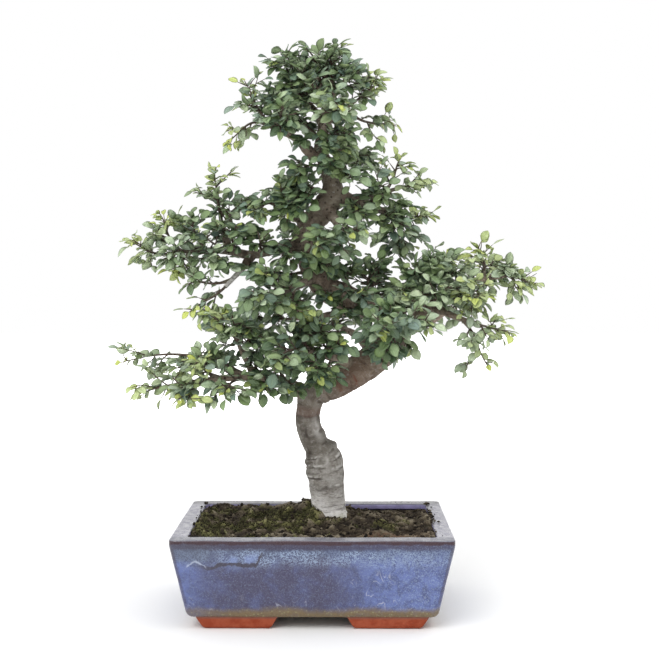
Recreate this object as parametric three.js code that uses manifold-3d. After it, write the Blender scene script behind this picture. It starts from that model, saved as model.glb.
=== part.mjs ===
// A zelkova bonsai in its glazed rectangular pot, in millimetres, +Z up, seen from -Y.
//
// The tree is one grown body: trunk, branches and root crown. Each leafy spray is a body of
// its own that carries on from a branch end or from a short side shoot. The pot, the two
// drain screens and the soil are separate pieces.

import * as THREE from 'three';
import { mergeVertices } from 'three/addons/utils/BufferGeometryUtils.js';
import Module from 'manifold-3d';

const wasm = await Module();
wasm.setup();

// Clearance between neighbouring pieces, and the smallest facet that a joined piece keeps.
const GAP = 0.3;
const FINEST_DETAIL = 0.15;

// Pot: a box that tapers towards its foot, with a flat inturned rim.
const POT_LENGTH = 282;
const POT_DEPTH = 210;
const POT_HEIGHT = 93;
const FOOT_HEIGHT = 11.8;
const WALL_TAPER = 15.5;
const RIM_WIDTH = 17;
const RIM_THICKNESS = 6;
const WALL_THICKNESS = 8;
const FLOOR_THICKNESS = 8;
const CORNER_RADIUS = 7;
const CORNER_STEPS = 3;
const FLOOR_TOP = FOOT_HEIGHT + FLOOR_THICKNESS;
const WALL_TOP_INSET = 0.2;
const RIM_BOTTOM = POT_HEIGHT - RIM_THICKNESS;

// Feet: one angle-shaped bracket under each corner, its ends slanting in.
const FOOT_INSET = 8.5;
const FOOT_FACE_INSET = 1.7;
const FOOT_LENGTH = 83;
const FOOT_SIDE_LENGTH = 62;
const FOOT_WALL = 16;
const FOOT_SLANT = 7.5;
const FOOT_FACE_SLANT = 1.9;

// Drain holes and the screens that lie over them.
const DRAIN_OFFSET = 62;
const DRAIN_DIAMETER = 20;
const SCREEN_SIZE = 34;
const SCREEN_THICKNESS = 1.2;
const SCREEN_HOLE = 11;
const SCREEN_PITCH = 14;

// Soil: its edge sits below the rim and it rises in a low mound to the trunk.
const SOIL_EDGE_HEIGHT = 86.4;
const SOIL_MOUND = 9.5;
const SOIL_MOUND_REACH = 62;
const SOIL_ROUGHNESS = 1.3;
const SOIL_RINGS = [1, 0.9, 0.74, 0.56, 0.38, 0.2];

// Trunk: centre x, y, z and radius, from the root crown in the soil to the leader's end.
const TRUNK = [
  [16, 16, 46, 13], [16, 16, 70, 17], [15, 14, 90, 20.5], [15, 13, 102, 19.3],
  [14, 10, 122, 18.6], [12, 8, 148, 18.9], [8, 8, 163, 17.4], [2, 7, 174, 13.8],
  [-4, 6, 188, 13], [-6, 2, 211, 13.2], [-1, 0, 227, 15.4], [19, 0, 238, 17],
  [45, 4, 250.5, 16.8], [68, 6, 266, 16], [84, 2, 284, 15.6], [83, -6, 306, 15],
  [60, -10, 319, 14.2], [38, -10, 327, 13.6], [18, -8, 336, 12.8], [2, -4, 354, 12.4],
  [-6, 0, 373, 12.2], [-8, 4, 391, 12.4], [-1, 6, 408, 12.6], [12, 6, 425, 12.8],
  [20, 4, 441, 11.6], [16, 0, 459, 8.6], [8, -4, 480, 6.6], [9, -4, 504, 5.2],
  [15, 0, 529, 3.9], [18, 4, 551, 2.8],
];
const TRUNK_SIDES = 10;
const TRUNK_STEPS = 30;

// Branches: centre x, y, z and radius, from inside the wood that each grows out of.
const LIMBS = {
  low_left: [
    [-6, 0, 225, 6.4], [-29, -14, 240, 5.6], [-57, -24, 246, 4.8], [-85, -28, 246, 4],
    [-112, -30, 243, 3.1], [-137, -28, 240, 2.2],
  ],
  low_left_back: [[-72, -26, 246, 3.4], [-94, -2, 257, 2.8], [-117, 12, 264, 2.2], [-137, 20, 266, 1.9]],
  low_left_rise: [[-60, -24, 246, 3.2], [-69, -30, 263, 2.6], [-77, -32, 280, 1.9]],
  low_front: [[40, 4, 255, 6.2], [25, -26, 265, 4.8], [5, -52, 272, 3.6], [-13, -72, 277, 2.4]],
  bend_right: [
    [85, 2, 286, 8], [106, 8, 305, 6.2], [131, 12, 323, 5.2], [157, 12, 338, 4.2],
    [181, 10, 349, 3.2], [201, 8, 351, 2.2],
  ],
  bend_drop: [[126, 12, 320, 3.8], [142, -8, 311, 3.2], [161, -22, 304, 2.4]],
  bend_front: [[78, 0, 293, 6], [91, -30, 300, 4.6], [92, -58, 305, 3.2], [86, -76, 308, 2.4]],
  low_back: [[62, 6, 266, 6.4], [56, 38, 276, 5.2], [42, 72, 287, 4], [28, 100, 293, 2.6]],
  low_back_right: [[89, 4, 290, 5.4], [110, 36, 294, 4.2], [131, 62, 302, 3.2], [148, 82, 312, 2.2]],
  mid_back_left: [[55, -8, 320, 5], [32, 24, 313, 4.2], [1, 48, 306, 3.4], [-26, 62, 304, 2.4]],
  mid_left: [
    [-10, 2, 381, 7], [-34, 10, 382, 5.8], [-64, 18, 374, 5], [-95, 22, 378, 4],
    [-128, 24, 379, 3], [-158, 22, 375, 2.1],
  ],
  mid_left_drop: [[-67, 18, 373, 3.6], [-79, 2, 356, 3], [-93, -8, 340, 2.2]],
  mid_left_rise: [[-91, 22, 378, 3.4], [-97, 14, 399, 2.6], [-100, 8, 418, 1.9]],
  mid_front: [[4, -4, 351, 5.6], [-10, -30, 344, 4.2], [-26, -54, 337, 3], [-37, -68, 333, 2.2]],
  mid_back: [[-5, 2, 378, 5.4], [4, 34, 387, 4.2], [17, 62, 395, 3.2], [26, 80, 400, 2.4]],
  high_left: [[-3, 5, 399, 5], [-21, -6, 415, 3.8], [-40, -14, 425, 2.6]],
  high_right: [[22, 5, 438, 7], [49, 14, 427, 5], [73, 20, 421, 3.8], [94, 22, 414, 2.6]],
  high_rise: [[40, 10, 432, 4], [64, 26, 438, 3], [88, 32, 445, 2.1]],
  high_front: [[13, 4, 422, 5.2], [25, -26, 404, 4], [23, -48, 392, 2.8]],
  high_back: [[18, 2, 449, 4.6], [25, 28, 469, 3.6], [37, 50, 482, 2.4]],
  top_left: [[2, -4, 474, 5], [-15, -8, 491, 3.8], [-33, -12, 502, 2.9], [-52, -14, 509, 2.2]],
  top_right: [[13, -2, 514, 3.8], [31, 10, 526, 2.8], [45, 16, 519, 2]],
  top_front: [[9, -4, 499, 3.8], [15, -22, 509, 2.9], [21, -40, 513, 2]],
  top_back: [[11, -4, 507, 3.8], [0, 18, 528, 2.9], [-9, 34, 541, 2]],
};
const LIMB_SIDES = 5;
const LIMB_STEP_LENGTH = 25;

// Sprays: the branch each grows from, how far along it, and where its tip reaches.
const SPRAYS = {
  low_left_tip: ['low_left', 1, [-195, -24, 225]],
  low_left_under: ['low_left', 0.8, [-143, -62, 222]],
  low_left_front: ['low_left', 0.55, [-90, -86, 233]],
  low_left_crown: ['low_left', 0.7, [-126, -52, 270]],
  low_left_inner: ['low_left', 0.3, [-52, -66, 236]],
  low_left_back_tip: ['low_left_back', 1, [-221, 36, 256]],
  low_left_back_side: ['low_left_back', 0.62, [-154, 70, 238]],
  low_left_rise_tip: ['low_left_rise', 1, [-111, -44, 323]],
  low_left_rise_side: ['low_left_rise', 0.7, [-52, -60, 305]],
  low_front_tip: ['low_front', 1, [-43, -112, 268]],
  low_front_side: ['low_front', 0.75, [9, -104, 248]],
  low_front_rise: ['low_front', 0.42, [-4, -74, 312]],
  bend_right_tip: ['bend_right', 1, [242, 6, 340]],
  bend_right_rise: ['bend_right', 0.84, [169, -4, 390]],
  bend_right_back: ['bend_right', 0.74, [206, 58, 368]],
  bend_right_fore: ['bend_right', 0.6, [168, -48, 327]],
  bend_right_crown: ['bend_right', 0.5, [131, 18, 382]],
  bend_drop_tip: ['bend_drop', 1, [212, -40, 290]],
  bend_drop_hang: ['bend_drop', 0.85, [182, -46, 251]],
  bend_front_tip: ['bend_front', 1, [57, -124, 292]],
  bend_front_right: ['bend_front', 0.85, [120, -104, 306]],
  bend_front_rise: ['bend_front', 0.6, [90, -74, 343]],
  low_back_tip: ['low_back', 1, [3, 150, 304]],
  low_back_left: ['low_back', 0.8, [-23, 112, 279]],
  low_back_right_tip: ['low_back_right', 1, [186, 128, 325]],
  low_back_right_side: ['low_back_right', 0.7, [119, 118, 325]],
  mid_back_left_tip: ['mid_back_left', 1, [-81, 88, 305]],
  mid_back_left_rise: ['mid_back_left', 0.75, [-38, 88, 337]],
  mid_left_tip: ['mid_left', 1, [-208, 26, 391]],
  mid_left_under: ['mid_left', 0.82, [-156, 42, 346]],
  mid_left_crown: ['mid_left', 0.9, [-169, 10, 427]],
  mid_left_back: ['mid_left', 0.55, [-135, 82, 403]],
  mid_left_drop_tip: ['mid_left_drop', 1, [-137, -26, 308]],
  mid_left_rise_tip: ['mid_left_rise', 1, [-108, 0, 474]],
  mid_left_rise_side: ['mid_left_rise', 0.6, [-65, -14, 435]],
  mid_front_tip: ['mid_front', 1, [-67, -104, 337]],
  mid_front_side: ['mid_front', 0.6, [-13, -92, 310]],
  mid_back_tip: ['mid_back', 1, [43, 124, 381]],
  mid_back_side: ['mid_back', 0.7, [-34, 104, 411]],
  high_left_tip: ['high_left', 1, [-72, -34, 415]],
  high_left_rise: ['high_left', 0.6, [-39, -20, 458]],
  high_right_tip: ['high_right', 1, [136, 26, 417]],
  high_right_drop: ['high_right', 0.8, [101, 22, 367]],
  high_rise_tip: ['high_rise', 1, [135, 38, 455]],
  high_rise_crown: ['high_rise', 0.75, [97, 26, 488]],
  high_front_tip: ['high_front', 1, [-1, -84, 377]],
  high_front_side: ['high_front', 0.6, [53, -72, 395]],
  high_back_tip: ['high_back', 1, [64, 88, 484]],
  top_left_tip: ['top_left', 1, [-97, -22, 485]],
  top_left_rise: ['top_left', 0.85, [-77, -8, 563]],
  top_right_tip: ['top_right', 1, [97, 22, 509]],
  top_right_rise: ['top_right', 0.5, [81, 26, 565]],
  top_front_tip: ['top_front', 1, [23, -84, 527]],
  top_back_tip: ['top_back', 1, [-30, 72, 565]],
  apex_tip: ['trunk', 1, [17, 8, 600]],
};
const SHOOT_REACH = 5;
const SHOOT_RADIUS = 2;
const TWIG_RADIUS = 1.5;
const TWIG_TIP_RADIUS = 0.7;
const TWIG_SIDES = 3;
const TWIG_STEPS = 4;
const SIDE_TWIGS = 2;
const SIDE_TWIG_SPAN = [0.28, 0.58];
const SIDE_TWIG_SHARE = 0.62;
const SIDE_TWIG_MAX = 42;
const SIDE_TWIG_SIDES = 3;

// Leaves: small ovate blades, folded a little along the rib. The outline has the share of the
// length and of the width at each corner of one half, and the middle is where a blade is thickest.
const LEAF_OUTLINE = [[0.3, 0.5], [0.7, 0.38]];
const LEAF_MIDDLE = 0.46;
const LEAF_LENGTH = [13, 16.5];
const LEAF_WIDTH_SHARE = 0.56;
const LEAF_THICKNESS = 1;
const LEAF_STALK_THICKNESS = 0.7;
const LEAF_FOLD = 0.7;
const LEAF_BOW = 1.2;
const LEAF_SINK = 0.8;
const LEAVES_ON_AXIS = 3;
const LEAVES_ON_SIDE_TWIG = 2;
const LEAF_TRIES = 14;

const UP = new THREE.Vector3(0, 0, 1);
const AHEAD = new THREE.Vector3(0, 1, 0);

const MATERIALS = {
  glaze: new THREE.MeshStandardMaterial({ color: 0x5f6d9c, roughness: 0.25, metalness: 0 }),
  screen: new THREE.MeshStandardMaterial({ color: 0x1d1f1e, roughness: 0.6, metalness: 0 }),
  soil: new THREE.MeshStandardMaterial({ color: 0x2e231a, roughness: 0.95, metalness: 0 }),
  bark: new THREE.MeshStandardMaterial({ color: 0x8d857c, roughness: 0.85, metalness: 0 }),
  leaf: new THREE.MeshStandardMaterial({ color: 0x566f4d, roughness: 0.5, metalness: 0 }),
};

// A repeatable stream of numbers from 0 to 1.
function randomStream(seed) {
  let state = seed >>> 0;
  return () => {
    state = (state + 0x6d2b79f5) >>> 0;
    let mixed = state;
    mixed = Math.imul(mixed ^ (mixed >>> 15), mixed | 1);
    mixed ^= mixed + Math.imul(mixed ^ (mixed >>> 7), mixed | 61);
    return ((mixed ^ (mixed >>> 14)) >>> 0) / 4294967296;
  };
}

function between(random, low, high) {
  return low + (high - low) * random();
}

// A closed geometry as a solid, its seams merged and its collapsed faces left out.
function toSolid(geometry) {
  const bare = new THREE.BufferGeometry();
  bare.setAttribute('position', geometry.getAttribute('position'));
  bare.setIndex(geometry.index);
  const merged = mergeVertices(bare, 1e-4);
  const corners = merged.index.array;
  const triangles = [];
  for (let i = 0; i < corners.length; i += 3) {
    const [a, b, c] = [corners[i], corners[i + 1], corners[i + 2]];
    if (a !== b && b !== c && c !== a) {
      triangles.push(a, b, c);
    }
  }
  return new wasm.Manifold(new wasm.Mesh({
    numProp: 3,
    vertProperties: new Float32Array(merged.getAttribute('position').array),
    triVerts: new Uint32Array(triangles),
  }));
}

function toMesh(name, solid, material) {
  const { numProp, vertProperties, triVerts } = solid.getMesh();
  const positions = new Float32Array((vertProperties.length / numProp) * 3);
  for (let i = 0; i < positions.length / 3; i += 1) {
    positions.set(vertProperties.subarray(i * numProp, i * numProp + 3), i * 3);
  }
  const geometry = new THREE.BufferGeometry();
  geometry.setAttribute('position', new THREE.BufferAttribute(positions, 3));
  geometry.setIndex(new THREE.BufferAttribute(new Uint32Array(triVerts), 1));
  geometry.computeVertexNormals();
  const mesh = new THREE.Mesh(geometry, material);
  mesh.name = name;
  return mesh;
}

// Moves every vertex of a geometry to where the rule puts it.
function reshape(geometry, rule) {
  const position = geometry.getAttribute('position');
  const point = new THREE.Vector3();
  for (let i = 0; i < position.count; i += 1) {
    point.fromBufferAttribute(position, i);
    const moved = rule(point, i);
    position.setXYZ(i, moved.x, moved.y, moved.z);
  }
  return geometry;
}

// A closed cylinder bent along a curve, with its radius given along the curve from 0 to 1.
function bentTube(curve, radiusAt, sides, steps) {
  const frames = curve.computeFrenetFrames(steps);
  const centres = curve.getSpacedPoints(steps);
  const straight = new THREE.CylinderGeometry(1, 1, 1, sides, steps);
  return toSolid(reshape(straight, (point) => {
    const step = Math.round((point.y + 0.5) * steps);
    const radius = radiusAt(curve.getUtoTmapping(step / steps));
    return centres[step].clone()
      .addScaledVector(frames.binormals[step], point.x * radius)
      .addScaledVector(frames.normals[step], point.z * radius);
  }));
}

function woodCurve(points) {
  return new THREE.CatmullRomCurve3(points.map(([x, y, z]) => new THREE.Vector3(x, y, z)));
}

// The radius along a list of points, read straight between them.
function woodRadius(points, added = 0) {
  return (share) => {
    const place = share * (points.length - 1);
    const start = Math.min(Math.floor(place), points.length - 2);
    return THREE.MathUtils.lerp(points[start][3], points[start + 1][3], place - start) + added;
  };
}

// A lathe profile carried round a rounded rectangle. Each profile row is the inset from the
// rim's outline, the height, and the share of the way out from the centre.
function rectangularLathe(profile, heightAt = (x, y, row) => row.z) {
  const columns = 4 * (CORNER_STEPS + 1);
  const lathe = new THREE.LatheGeometry(profile.map(() => new THREE.Vector2(1, 0)), columns);
  return toSolid(reshape(lathe, (point, index) => {
    const row = profile[index % profile.length];
    const column = Math.floor(index / profile.length) % columns;
    const quarter = Math.floor(column / (CORNER_STEPS + 1));
    const turn = (column % (CORNER_STEPS + 1)) / CORNER_STEPS;
    const angle = (quarter + turn) * Math.PI / 2;
    const radius = Math.max(CORNER_RADIUS - row.inset, 6);
    const sideX = quarter === 0 || quarter === 3 ? 1 : -1;
    const sideY = quarter < 2 ? 1 : -1;
    const x = sideX * (POT_LENGTH / 2 - row.inset - radius) + radius * Math.cos(angle);
    const y = sideY * (POT_DEPTH / 2 - row.inset - radius) + radius * Math.sin(angle);
    const share = row.share ?? 1;
    return new THREE.Vector3(x * share, y * share, heightAt(x * share, y * share, row));
  }));
}

// A block whose lower face is smaller than its upper face.
function taperedBlock(upper, lower, bottom, top) {
  return toSolid(reshape(new THREE.BoxGeometry(1, 1, 1), (point) => {
    const [x0, x1, y0, y1] = point.z > 0 ? upper : lower;
    return new THREE.Vector3(
      point.x > 0 ? x1 : x0,
      point.y > 0 ? y1 : y0,
      point.z > 0 ? top : bottom,
    );
  }));
}

function box(width, depth, height, x, y, z) {
  return toSolid(new THREE.BoxGeometry(width, depth, height).translate(x, y, z + height / 2));
}

// One corner foot: two blocks that meet under the corner, mirrored by the signs.
function foot(signX, signY) {
  const outerX = POT_LENGTH / 2 - WALL_TAPER - FOOT_INSET;
  const outerY = POT_DEPTH / 2 - WALL_TAPER - FOOT_FACE_INSET;
  const span = (sign, outer, length, slantOut, slantIn) => {
    const ends = [sign * (outer - slantOut), sign * (outer - length + slantIn)];
    return ends.sort((a, b) => a - b);
  };
  const block = (lengthX, lengthY, slantX, slantY) => taperedBlock(
    [...span(signX, outerX, lengthX, 0, 0), ...span(signY, outerY, lengthY, 0, 0)],
    [
      ...span(signX, outerX, lengthX, FOOT_SLANT, slantX),
      ...span(signY, outerY, lengthY, FOOT_FACE_SLANT, slantY),
    ],
    0,
    FOOT_HEIGHT + 1,
  );
  return block(FOOT_LENGTH, FOOT_WALL, FOOT_SLANT, 0)
    .add(block(FOOT_WALL, FOOT_SIDE_LENGTH, 0, FOOT_SLANT));
}

function drainHole(x) {
  const hole = new THREE.CylinderGeometry(DRAIN_DIAMETER / 2, DRAIN_DIAMETER / 2, 30, 14);
  return toSolid(hole.rotateX(Math.PI / 2).translate(x, 0, FOOT_HEIGHT));
}

function makePot() {
  let pot = rectangularLathe([
    { inset: WALL_TAPER + 4, z: FOOT_HEIGHT, share: 0 },
    { inset: WALL_TAPER + 4, z: FOOT_HEIGHT },
    { inset: WALL_TAPER + 1.2, z: FOOT_HEIGHT + 1.1 },
    { inset: WALL_TAPER - 0.5, z: FOOT_HEIGHT + 4 },
    { inset: WALL_TOP_INSET, z: RIM_BOTTOM - 1.2 },
    { inset: 0, z: RIM_BOTTOM + 1 },
    { inset: 0, z: POT_HEIGHT - 1.6 },
    { inset: 1.2, z: POT_HEIGHT },
    { inset: RIM_WIDTH - 1.2, z: POT_HEIGHT },
    { inset: RIM_WIDTH, z: POT_HEIGHT - 1.4 },
    { inset: RIM_WIDTH, z: RIM_BOTTOM },
    { inset: WALL_TOP_INSET + WALL_THICKNESS, z: RIM_BOTTOM - 3 },
    { inset: WALL_TAPER + WALL_THICKNESS - 1, z: FLOOR_TOP + 5 },
    { inset: WALL_TAPER + WALL_THICKNESS + 4, z: FLOOR_TOP },
    { inset: WALL_TAPER + WALL_THICKNESS + 4, z: FLOOR_TOP, share: 0 },
  ]);
  for (const signX of [-1, 1]) {
    for (const signY of [-1, 1]) {
      pot = pot.add(foot(signX, signY));
    }
    pot = pot.subtract(drainHole(signX * DRAIN_OFFSET));
  }
  return pot;
}

// A square of screen mesh, two holes by two.
function makeScreen(x) {
  const bottom = FLOOR_TOP + GAP;
  let screen = box(SCREEN_SIZE, SCREEN_SIZE, SCREEN_THICKNESS, x, 0, bottom);
  for (const row of [-0.5, 0.5]) {
    for (const column of [-0.5, 0.5]) {
      screen = screen.subtract(
        box(SCREEN_HOLE, SCREEN_HOLE, 4, x + column * SCREEN_PITCH, row * SCREEN_PITCH, bottom - 1),
      );
    }
  }
  return screen;
}

// The soil's surface: a low mound round the trunk with uneven lumps.
function soilHeight(x, y) {
  const reach = Math.hypot(x - TRUNK[2][0], y - TRUNK[2][1]) / SOIL_MOUND_REACH;
  const lumps = Math.sin(x * 0.11 + 1.3) * Math.cos(y * 0.13) + 0.6 * Math.sin(x * 0.27 - y * 0.19);
  return SOIL_EDGE_HEIGHT + SOIL_MOUND * Math.exp(-reach * reach) + SOIL_ROUGHNESS * lumps;
}

function makeSoil() {
  const rimInset = RIM_WIDTH + GAP;
  const wallInset = WALL_TAPER + WALL_THICKNESS + GAP;
  let soil = rectangularLathe([
    { inset: wallInset + 5, z: FLOOR_TOP + GAP, share: 0 },
    { inset: wallInset + 5, z: FLOOR_TOP + GAP },
    { inset: wallInset - 0.6, z: FLOOR_TOP + 5.6 },
    { inset: WALL_TOP_INSET + WALL_THICKNESS + 0.5, z: RIM_BOTTOM - 3.6 },
    { inset: rimInset, z: RIM_BOTTOM - 0.8 },
    ...SOIL_RINGS.map((share) => ({ inset: rimInset, share, surface: true })),
    { inset: rimInset, share: 0, surface: true },
  ], (x, y, row) => (row.surface ? soilHeight(x, y) : row.z));
  for (const side of [-1, 1]) {
    const size = SCREEN_SIZE + 2 * GAP;
    soil = soil.subtract(
      box(size, size, SCREEN_THICKNESS + 2 * GAP + 1, side * DRAIN_OFFSET, 0, FLOOR_TOP - 1 + GAP),
    );
  }
  const [x, y, z, radius] = TRUNK[0];
  const hole = [[x, y, z - 2 * GAP, radius], ...TRUNK.slice(1)];
  return soil.subtract(
    bentTube(woodCurve(hole), woodRadius(hole, 1.5 * GAP), TRUNK_SIDES, TRUNK_STEPS),
  );
}

// Where a spray starts on its branch: the point, the way the branch runs and its radius.
function branchPoint(limb, share) {
  const points = limb === 'trunk' ? TRUNK : LIMBS[limb];
  const curve = woodCurve(points);
  return {
    point: curve.getPointAt(share),
    along: curve.getTangentAt(share),
    radius: woodRadius(points)(curve.getUtoTmapping(share)),
  };
}

// Plans one spray: the short side shoot on the branch, if it needs one, and the twig's start.
function planSpray(name, [limb, share, tip], seed) {
  const { point, along, radius } = branchPoint(limb, share);
  const reach = new THREE.Vector3(...tip);
  if (share === 1) {
    return { name, seed, reach, way: along, start: point.addScaledVector(along, GAP) };
  }
  const way = reach.clone().sub(point).normalize().addScaledVector(along, 0.35).normalize();
  const aside = Math.max(0.45, way.clone().cross(along).length());
  const end = point.clone().addScaledVector(way, radius / aside + SHOOT_REACH);
  const shoot = bentTube(
    new THREE.LineCurve3(point, end),
    () => Math.min(SHOOT_RADIUS, radius * 0.8),
    5,
    1,
  );
  return { name, seed, reach, way, shoot, start: end.addScaledVector(way, GAP) };
}

function makeWood(plans) {
  let wood = bentTube(woodCurve(TRUNK), woodRadius(TRUNK), TRUNK_SIDES, TRUNK_STEPS);
  for (const points of Object.values(LIMBS)) {
    const curve = woodCurve(points);
    const steps = Math.max(2, Math.round(curve.getLength() / LIMB_STEP_LENGTH));
    wood = wood.add(bentTube(curve, woodRadius(points), LIMB_SIDES, steps));
  }
  for (const { shoot } of plans) {
    wood = shoot ? wood.add(shoot) : wood;
  }
  return wood.asOriginal().simplify(FINEST_DETAIL);
}

// The spray's main twig runs from its start to just short of where its tip leaf ends.
function axisCurve({ start, way, reach }, random) {
  const chord = reach.clone().sub(start);
  const length = chord.length();
  chord.normalize();
  const end = start.clone().addScaledVector(chord, length - LEAF_LENGTH[0] * 0.8);
  const sway = new THREE.Vector3(
    between(random, -0.07, 0.07),
    between(random, -0.07, 0.07),
    between(random, -0.02, 0.09),
  );
  return new THREE.CubicBezierCurve3(
    start.clone(),
    start.clone().addScaledVector(way, length * 0.33),
    end.clone().addScaledVector(chord, -length * 0.33).addScaledVector(sway, length),
    end,
  );
}

// A direction that leaves a twig at an angle, turned round it by the roll.
function sideways(along, roll, spread) {
  const reference = Math.abs(along.z) > 0.85 ? AHEAD : UP;
  const level = along.clone().cross(reference).normalize();
  const rise = level.clone().cross(along).normalize();
  return along.clone().multiplyScalar(Math.cos(spread))
    .addScaledVector(level, Math.cos(roll) * Math.sin(spread))
    .addScaledVector(rise, Math.sin(roll) * Math.sin(spread))
    .normalize();
}

function sideTwigLine(axis, index, random) {
  const share = THREE.MathUtils.lerp(...SIDE_TWIG_SPAN, index / (SIDE_TWIGS - 1));
  const from = axis.getPointAt(share);
  const roll = (index % 2) * Math.PI + between(random, -0.9, 0.9);
  const way = sideways(axis.getTangentAt(share), roll, 0.95);
  const length = Math.min(axis.getLength() * SIDE_TWIG_SHARE, SIDE_TWIG_MAX) * (1.15 - 0.4 * share);
  const end = from.clone().addScaledVector(way, length);
  end.z += between(random, -0.2, 0.12) * length;
  return new THREE.LineCurve3(from, end);
}

// A leaf blade, thickest at its middle, with its sides folded up and its tip bowed down. With
// a margin it is the space that the blade needs beyond its stalk.
function leafBlade({ base, way, facing, length }, margin = 0) {
  const across = way.clone().cross(facing).normalize();
  const normal = across.clone().cross(way).normalize();
  const width = length * LEAF_WIDTH_SHARE + margin;
  const thick = LEAF_THICKNESS - LEAF_STALK_THICKNESS / 2 + margin;
  const stalk = LEAF_STALK_THICKNESS / 2 + margin;
  const first = margin > 0 ? 0.22 : 0;
  const outline = [
    ...LEAF_OUTLINE,
    [1, 0],
    ...LEAF_OUTLINE.toReversed().map(([run, out]) => [run, -out]),
  ];
  const rows = [
    ...outline.map(([run, out]) => [run, out, LEAF_FOLD * 2 * Math.abs(out) - LEAF_BOW * run * run]),
    [first, 0, stalk],
    [first, 0, -stalk],
    [LEAF_MIDDLE, 0, thick],
  ];
  const corners = rows.flatMap(([run, out, lift]) => base.clone()
    .addScaledVector(way, run * (length + margin / 2))
    .addScaledVector(across, out * width)
    .addScaledVector(normal, lift)
    .toArray());
  const count = outline.length;
  const [stalkTop, stalkUnder, middle] = [count, count + 1, count + 2];
  const faces = [stalkTop, stalkUnder, 0, stalkUnder, stalkTop, count - 1];
  faces.push(stalkTop, 0, middle, count - 1, stalkTop, middle);
  for (let i = 1; i < count; i += 1) {
    faces.push(i - 1, i, middle, i, i - 1, stalkUnder);
  }
  const blade = new THREE.BufferGeometry();
  blade.setAttribute('position', new THREE.BufferAttribute(new Float32Array(corners), 3));
  blade.setIndex(faces);
  return toSolid(blade);
}

// The solids placed so far, with their boxes, so that nothing crosses another spray.
class Crowd {
  constructor() {
    this.members = [];
  }

  static boxOf(solid) {
    const { min, max } = solid.boundingBox();
    return new THREE.Box3(new THREE.Vector3(...min), new THREE.Vector3(...max));
  }

  add(owner, solid, kind) {
    this.members.push({ owner, solid, kind, box: Crowd.boxOf(solid) });
  }

  // True where the solid meets nothing but the wood that its own spray may touch.
  hasRoomFor(solid, owner) {
    const space = Crowd.boxOf(solid);
    return !this.members.some((member) => (
      (member.owner !== owner || member.kind === 'leaf')
      && member.box.intersectsBox(space)
      && !member.solid.intersect(solid).isEmpty()
    ));
  }
}

function twigTube(curve, radius, sides, steps, margin = 0) {
  const thinning = (share) => THREE.MathUtils.lerp(radius, TWIG_TIP_RADIUS, share) + margin;
  return bentTube(curve, thinning, sides, steps);
}

// Leaf stations along a twig: point, way and how far round it the leaf stands.
function leafStations(curve, count, first, random) {
  return Array.from({ length: count }, (_, index) => {
    const share = first + (0.97 - first) * index / Math.max(1, count - 1);
    const along = curve.getTangentAt(share);
    return {
      base: curve.getPointAt(share).addScaledVector(along, -LEAF_SINK),
      along,
      roll: (index % 2) * Math.PI + between(random, -0.7, 0.7),
      spread: index === count - 1 ? between(random, 0.1, 0.4) : between(random, 0.8, 1.15),
    };
  });
}

// Puts one leaf at a station, turned round the twig until it has room, or leaves it out.
function growLeaf(station, owner, crowd, random) {
  const length = between(random, ...LEAF_LENGTH);
  for (let attempt = 0; attempt < LEAF_TRIES; attempt += 1) {
    const roll = station.roll + attempt * 2.4;
    const leaf = {
      base: station.base,
      way: sideways(station.along, roll, station.spread + 0.05 * attempt),
      facing: new THREE.Vector3(
        between(random, -0.7, 0.7),
        between(random, -1.1, 0.3),
        between(random, 0.35, 1),
      ),
      length,
    };
    if (crowd.hasRoomFor(leafBlade(leaf, 2 * GAP), owner)) {
      const blade = leafBlade(leaf);
      crowd.add(owner, blade, 'leaf');
      return blade;
    }
  }
  return null;
}

// All the sprays as solids by name: twigs first, then leaves wherever there is room for them.
function makeSprays(plans, crowd) {
  const grown = plans.map((plan) => {
    const random = randomStream(plan.seed);
    const axis = axisCurve(plan, random);
    crowd.add(plan.name, twigTube(axis, TWIG_RADIUS, TWIG_SIDES, TWIG_STEPS, GAP / 2), 'twig');
    return { ...plan, random, axis, twigs: [] };
  });
  for (const spray of grown) {
    for (let index = 0; index < SIDE_TWIGS; index += 1) {
      const curve = sideTwigLine(spray.axis, index, spray.random);
      const radius = TWIG_RADIUS * 0.7;
      const room = twigTube(curve, radius, SIDE_TWIG_SIDES, 1, 2 * GAP);
      if (crowd.hasRoomFor(room, spray.name)) {
        crowd.add(spray.name, room, 'twig');
        spray.twigs.push(curve);
      }
    }
  }
  const solids = {};
  for (const { name, random, axis, twigs } of grown) {
    const pieces = [twigTube(axis, TWIG_RADIUS, TWIG_SIDES, TWIG_STEPS)];
    const stations = leafStations(axis, LEAVES_ON_AXIS, 0.5, random);
    for (const twig of twigs) {
      pieces.push(twigTube(twig, TWIG_RADIUS * 0.7, SIDE_TWIG_SIDES, 1));
      stations.push(...leafStations(twig, LEAVES_ON_SIDE_TWIG, 0.5, random));
    }
    for (const station of stations) {
      const leaf = growLeaf(station, name, crowd, random);
      if (leaf) {
        pieces.push(leaf);
      }
    }
    solids[name] = wasm.Manifold.union(pieces).asOriginal().simplify(FINEST_DETAIL);
  }
  return solids;
}

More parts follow.
